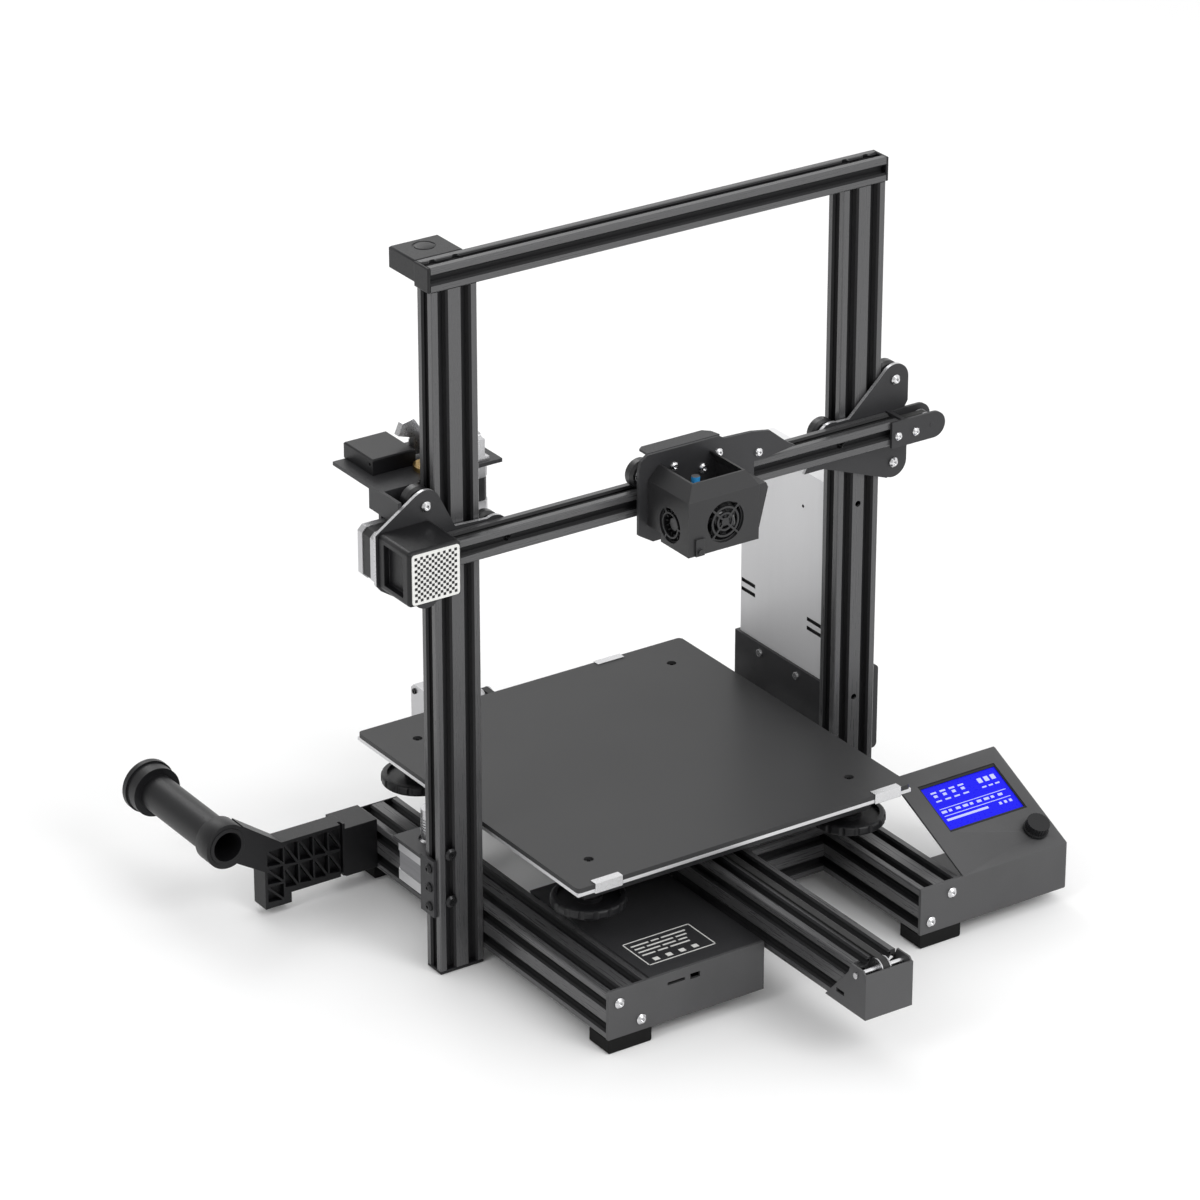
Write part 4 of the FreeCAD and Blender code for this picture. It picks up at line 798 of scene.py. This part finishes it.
def readout():
    """Plain bars, dots and a gauge on the display."""
    glass = flat_face("lcd_module", SLOPE, GLASS_DROP)
    right, top = glass.width / MM / 2 - 4, glass.height / MM / 2 - 4
    left = -right
    marks = Solid()

    def bar(x, width, low, high):
        tile(marks, glass, (x, x + width), (low, high), READOUT_THICK)

    bar(left, right - left, -1.2, -0.6)
    bar(left, right - left, -8.6, -8.0)
    for i in range(4):
        x = left + 2 + 9 * i
        bar(x, 5.5, top - 3.4, top - 1.8)
        bar(x + 1, 3.5, top - 7.5, top - 5)
        bar(x, 5.5, top - 12, top - 10.6)
    for i in range(3):
        x = right - 5 - 6.5 * i
        bar(x, 4.2, top - 6.8, top - 2)
        bar(x, 4.2, top - 12, top - 10.6)
    for i in range(9):
        bar(left + 7 * i, (5.0, 3.0, 4.4)[i % 3], -5.4, -3.0)
    bar(left, (right - left) * 0.62, -13.4, -11.2)
    for x in (right - 14, right - 9, right - 4):
        bar(x, 2.6, -13.6, -11.0)
    marks.piece("display_marks", READOUT, "frame")


def rounded_outline(middle_x, half_w, half_h, corner):
    points = []
    for sx, sy, start in ((1, 1, 0), (-1, 1, 90), (-1, -1, 180), (1, -1, 270)):
        for step in range(5):
            angle = math.radians(start + 22.5 * step)
            x = middle_x + sx * (half_w - corner) + corner * math.cos(angle)
            y = sy * (half_h - corner) + corner * math.sin(angle)
            points.append((x, y))
    return points


def cover_label():
    """A white plate with an even chequer of small squares on the X motor's cover."""
    cover = flat_face("x_motor_cover", (0, -1, 0))
    low, high = node_box("x_motor_cover")
    middle_x = ((low.x + high.x) / 2 - cover.place.translation.x) / MM
    half_w, half_h = 20.8, 20.4
    outline = rounded_outline(middle_x, half_w, half_h, 2.4)
    plate = Solid()
    plate.skin([[cover.place @ Vector((u * MM, v * MM, w * MM)) for u, v in outline] for w in (-0.2, 0.5)])
    plate.piece("cover_label", WHITE_PLASTIC, "gantry")

    count, margin, filled = 15, 2.2, 0.92
    step_x, step_y = 2 * (half_w - margin) / count, 2 * (half_h - margin) / count
    squares = Solid()
    for row in range(count):
        for column in range(row % 2, count, 2):
            x = middle_x - half_w + margin + column * step_x
            y = -half_h + margin + row * step_y
            squares.block((x * MM, (x + step_x * filled) * MM), (y * MM, (y + step_y * filled) * MM),
                          (0.4 * MM, 0.62 * MM), cover.place)
    squares.piece("cover_pattern", BLACK_PLASTIC, "gantry")


def lid_marks():
    """A framed plate with plain bars on the electronics lid."""
    lid = flat_face("electronics_lid", (0, 0, 1))
    corner = (node_box("electronics_lid")[0] - lid.place.translation) / MM
    x0, y0 = corner.x + 10, corner.y + 15
    wide, deep, line = 62.0, 38.0, 0.9
    marks = Solid()

    def bar(x, width, y, height):
        tile(marks, lid, (x, x + width), (y, y + height), LID_MARK_THICK)

    bar(x0, wide, y0, line)
    bar(x0, wide, y0 + deep - line, line)
    bar(x0, line, y0, deep)
    bar(x0 + wide - line, line, y0, deep)
    for row, lengths in enumerate(((16, 7, 22), (9, 24, 10), (20, 12, 8), (12, 9, 18))):
        x = x0 + 4
        for length in lengths:
            bar(x, length, y0 + deep - 7.5 - 5.2 * row, 1.5)
            x += length + 2.5
    for i in range(4):
        bar(x0 + 8 + 12 * i, 5, y0 + 4, 4.5)
    marks.piece("lid_marks", WHITE_PLASTIC, "frame")


# ================================================================== studio
def floor():
    bpy.ops.mesh.primitive_plane_add(size=30, location=(0, 0, -0.0002))
    plane = bpy.context.object
    plane.name = "studio_floor"
    made = Shader("studio_floor")
    tone = made.ramp(made.noise(3.0, 2.0), "Fac", (0.0, 0.93), (1.0, 0.95))
    made.link(tone, "Color", made.finish, "Base Color")
    made.finish.inputs["Roughness"].default_value = 0.6
    made.finish.inputs["Specular IOR Level"].default_value = 0.1
    plane.data.materials.append(made.material)


def sky():
    """White light all round, a little stronger from the right."""
    world = bpy.data.worlds.new("studio")
    bpy.context.scene.world = world
    world.use_nodes = True
    tree = world.node_tree
    coords = tree.nodes.new("ShaderNodeTexCoord")
    split = tree.nodes.new("ShaderNodeSeparateXYZ")
    slope = tree.nodes.new("ShaderNodeMath")
    slope.operation = "MULTIPLY_ADD"
    slope.inputs[1].default_value = 0.35
    slope.inputs[2].default_value = 0.86
    background = tree.nodes["Background"]
    background.inputs["Color"].default_value = (1, 1, 1, 1)
    tree.links.new(coords.outputs["Generated"], split.inputs[0])
    tree.links.new(split.outputs["X"], slope.inputs[0])
    tree.links.new(slope.outputs[0], background.inputs["Strength"])


def area_light(name, place, aim, size, power):
    data = bpy.data.lights.new(name, "AREA")
    data.shape = "DISK"
    data.size = size
    data.energy = power
    light = bpy.data.objects.new(name, data)
    light.location = place
    light.rotation_euler = (Vector(aim) - Vector(place)).to_track_quat("-Z", "Y").to_euler()
    bpy.context.scene.collection.objects.link(light)


def studio():
    floor()
    sky()
    area_light("key", (0.6, -2.6, 2.4), (0, 0, 0.2), 1.6, 38)
    area_light("side", (-2.4, -0.6, 2.2), (0, 0, 0.2), 1.4, 14)
    area_light("back", (0.4, 2.6, 2.2), (0, 0, 0.3), 1.6, 16)
    bpy.context.scene.view_settings.view_transform = "Standard"


def camera():
    az, el = math.radians(CAMERA_AZ), math.radians(CAMERA_EL)
    back = Vector((math.sin(az) * math.cos(el), -math.cos(az) * math.cos(el), math.sin(el)))
    data = bpy.data.cameras.new("camera")
    data.lens = CAMERA_LENS
    data.sensor_width = 36
    data.clip_end = 100
    view = bpy.data.objects.new("camera", data)
    view.location = Vector(CAMERA_TARGET) + back * CAMERA_DISTANCE
    view.rotation_euler = back.to_track_quat("Z", "Y").to_euler()
    bpy.context.scene.collection.objects.link(view)
    bpy.context.scene.camera = view


dress_all()
paint_all()
bed_hardware()
lead_screw()
fan_rotor()
fan_bodies()
psu_core()
bearings()
belt_teeth("y_belt", 1, 0, "frame")
belt_teeth("x_belt", 0, 1, "gantry")
motor_fittings("base_motors", "frame")
motor_fittings("gantry_motors", "gantry")
readout()
cover_label()
lid_marks()
soften("display_housing electronics_case x_motor_cover filament_sensor feet screw_top_block "
       "psu_cover spool_arm end_caps", 0.5)
studio()
camera()
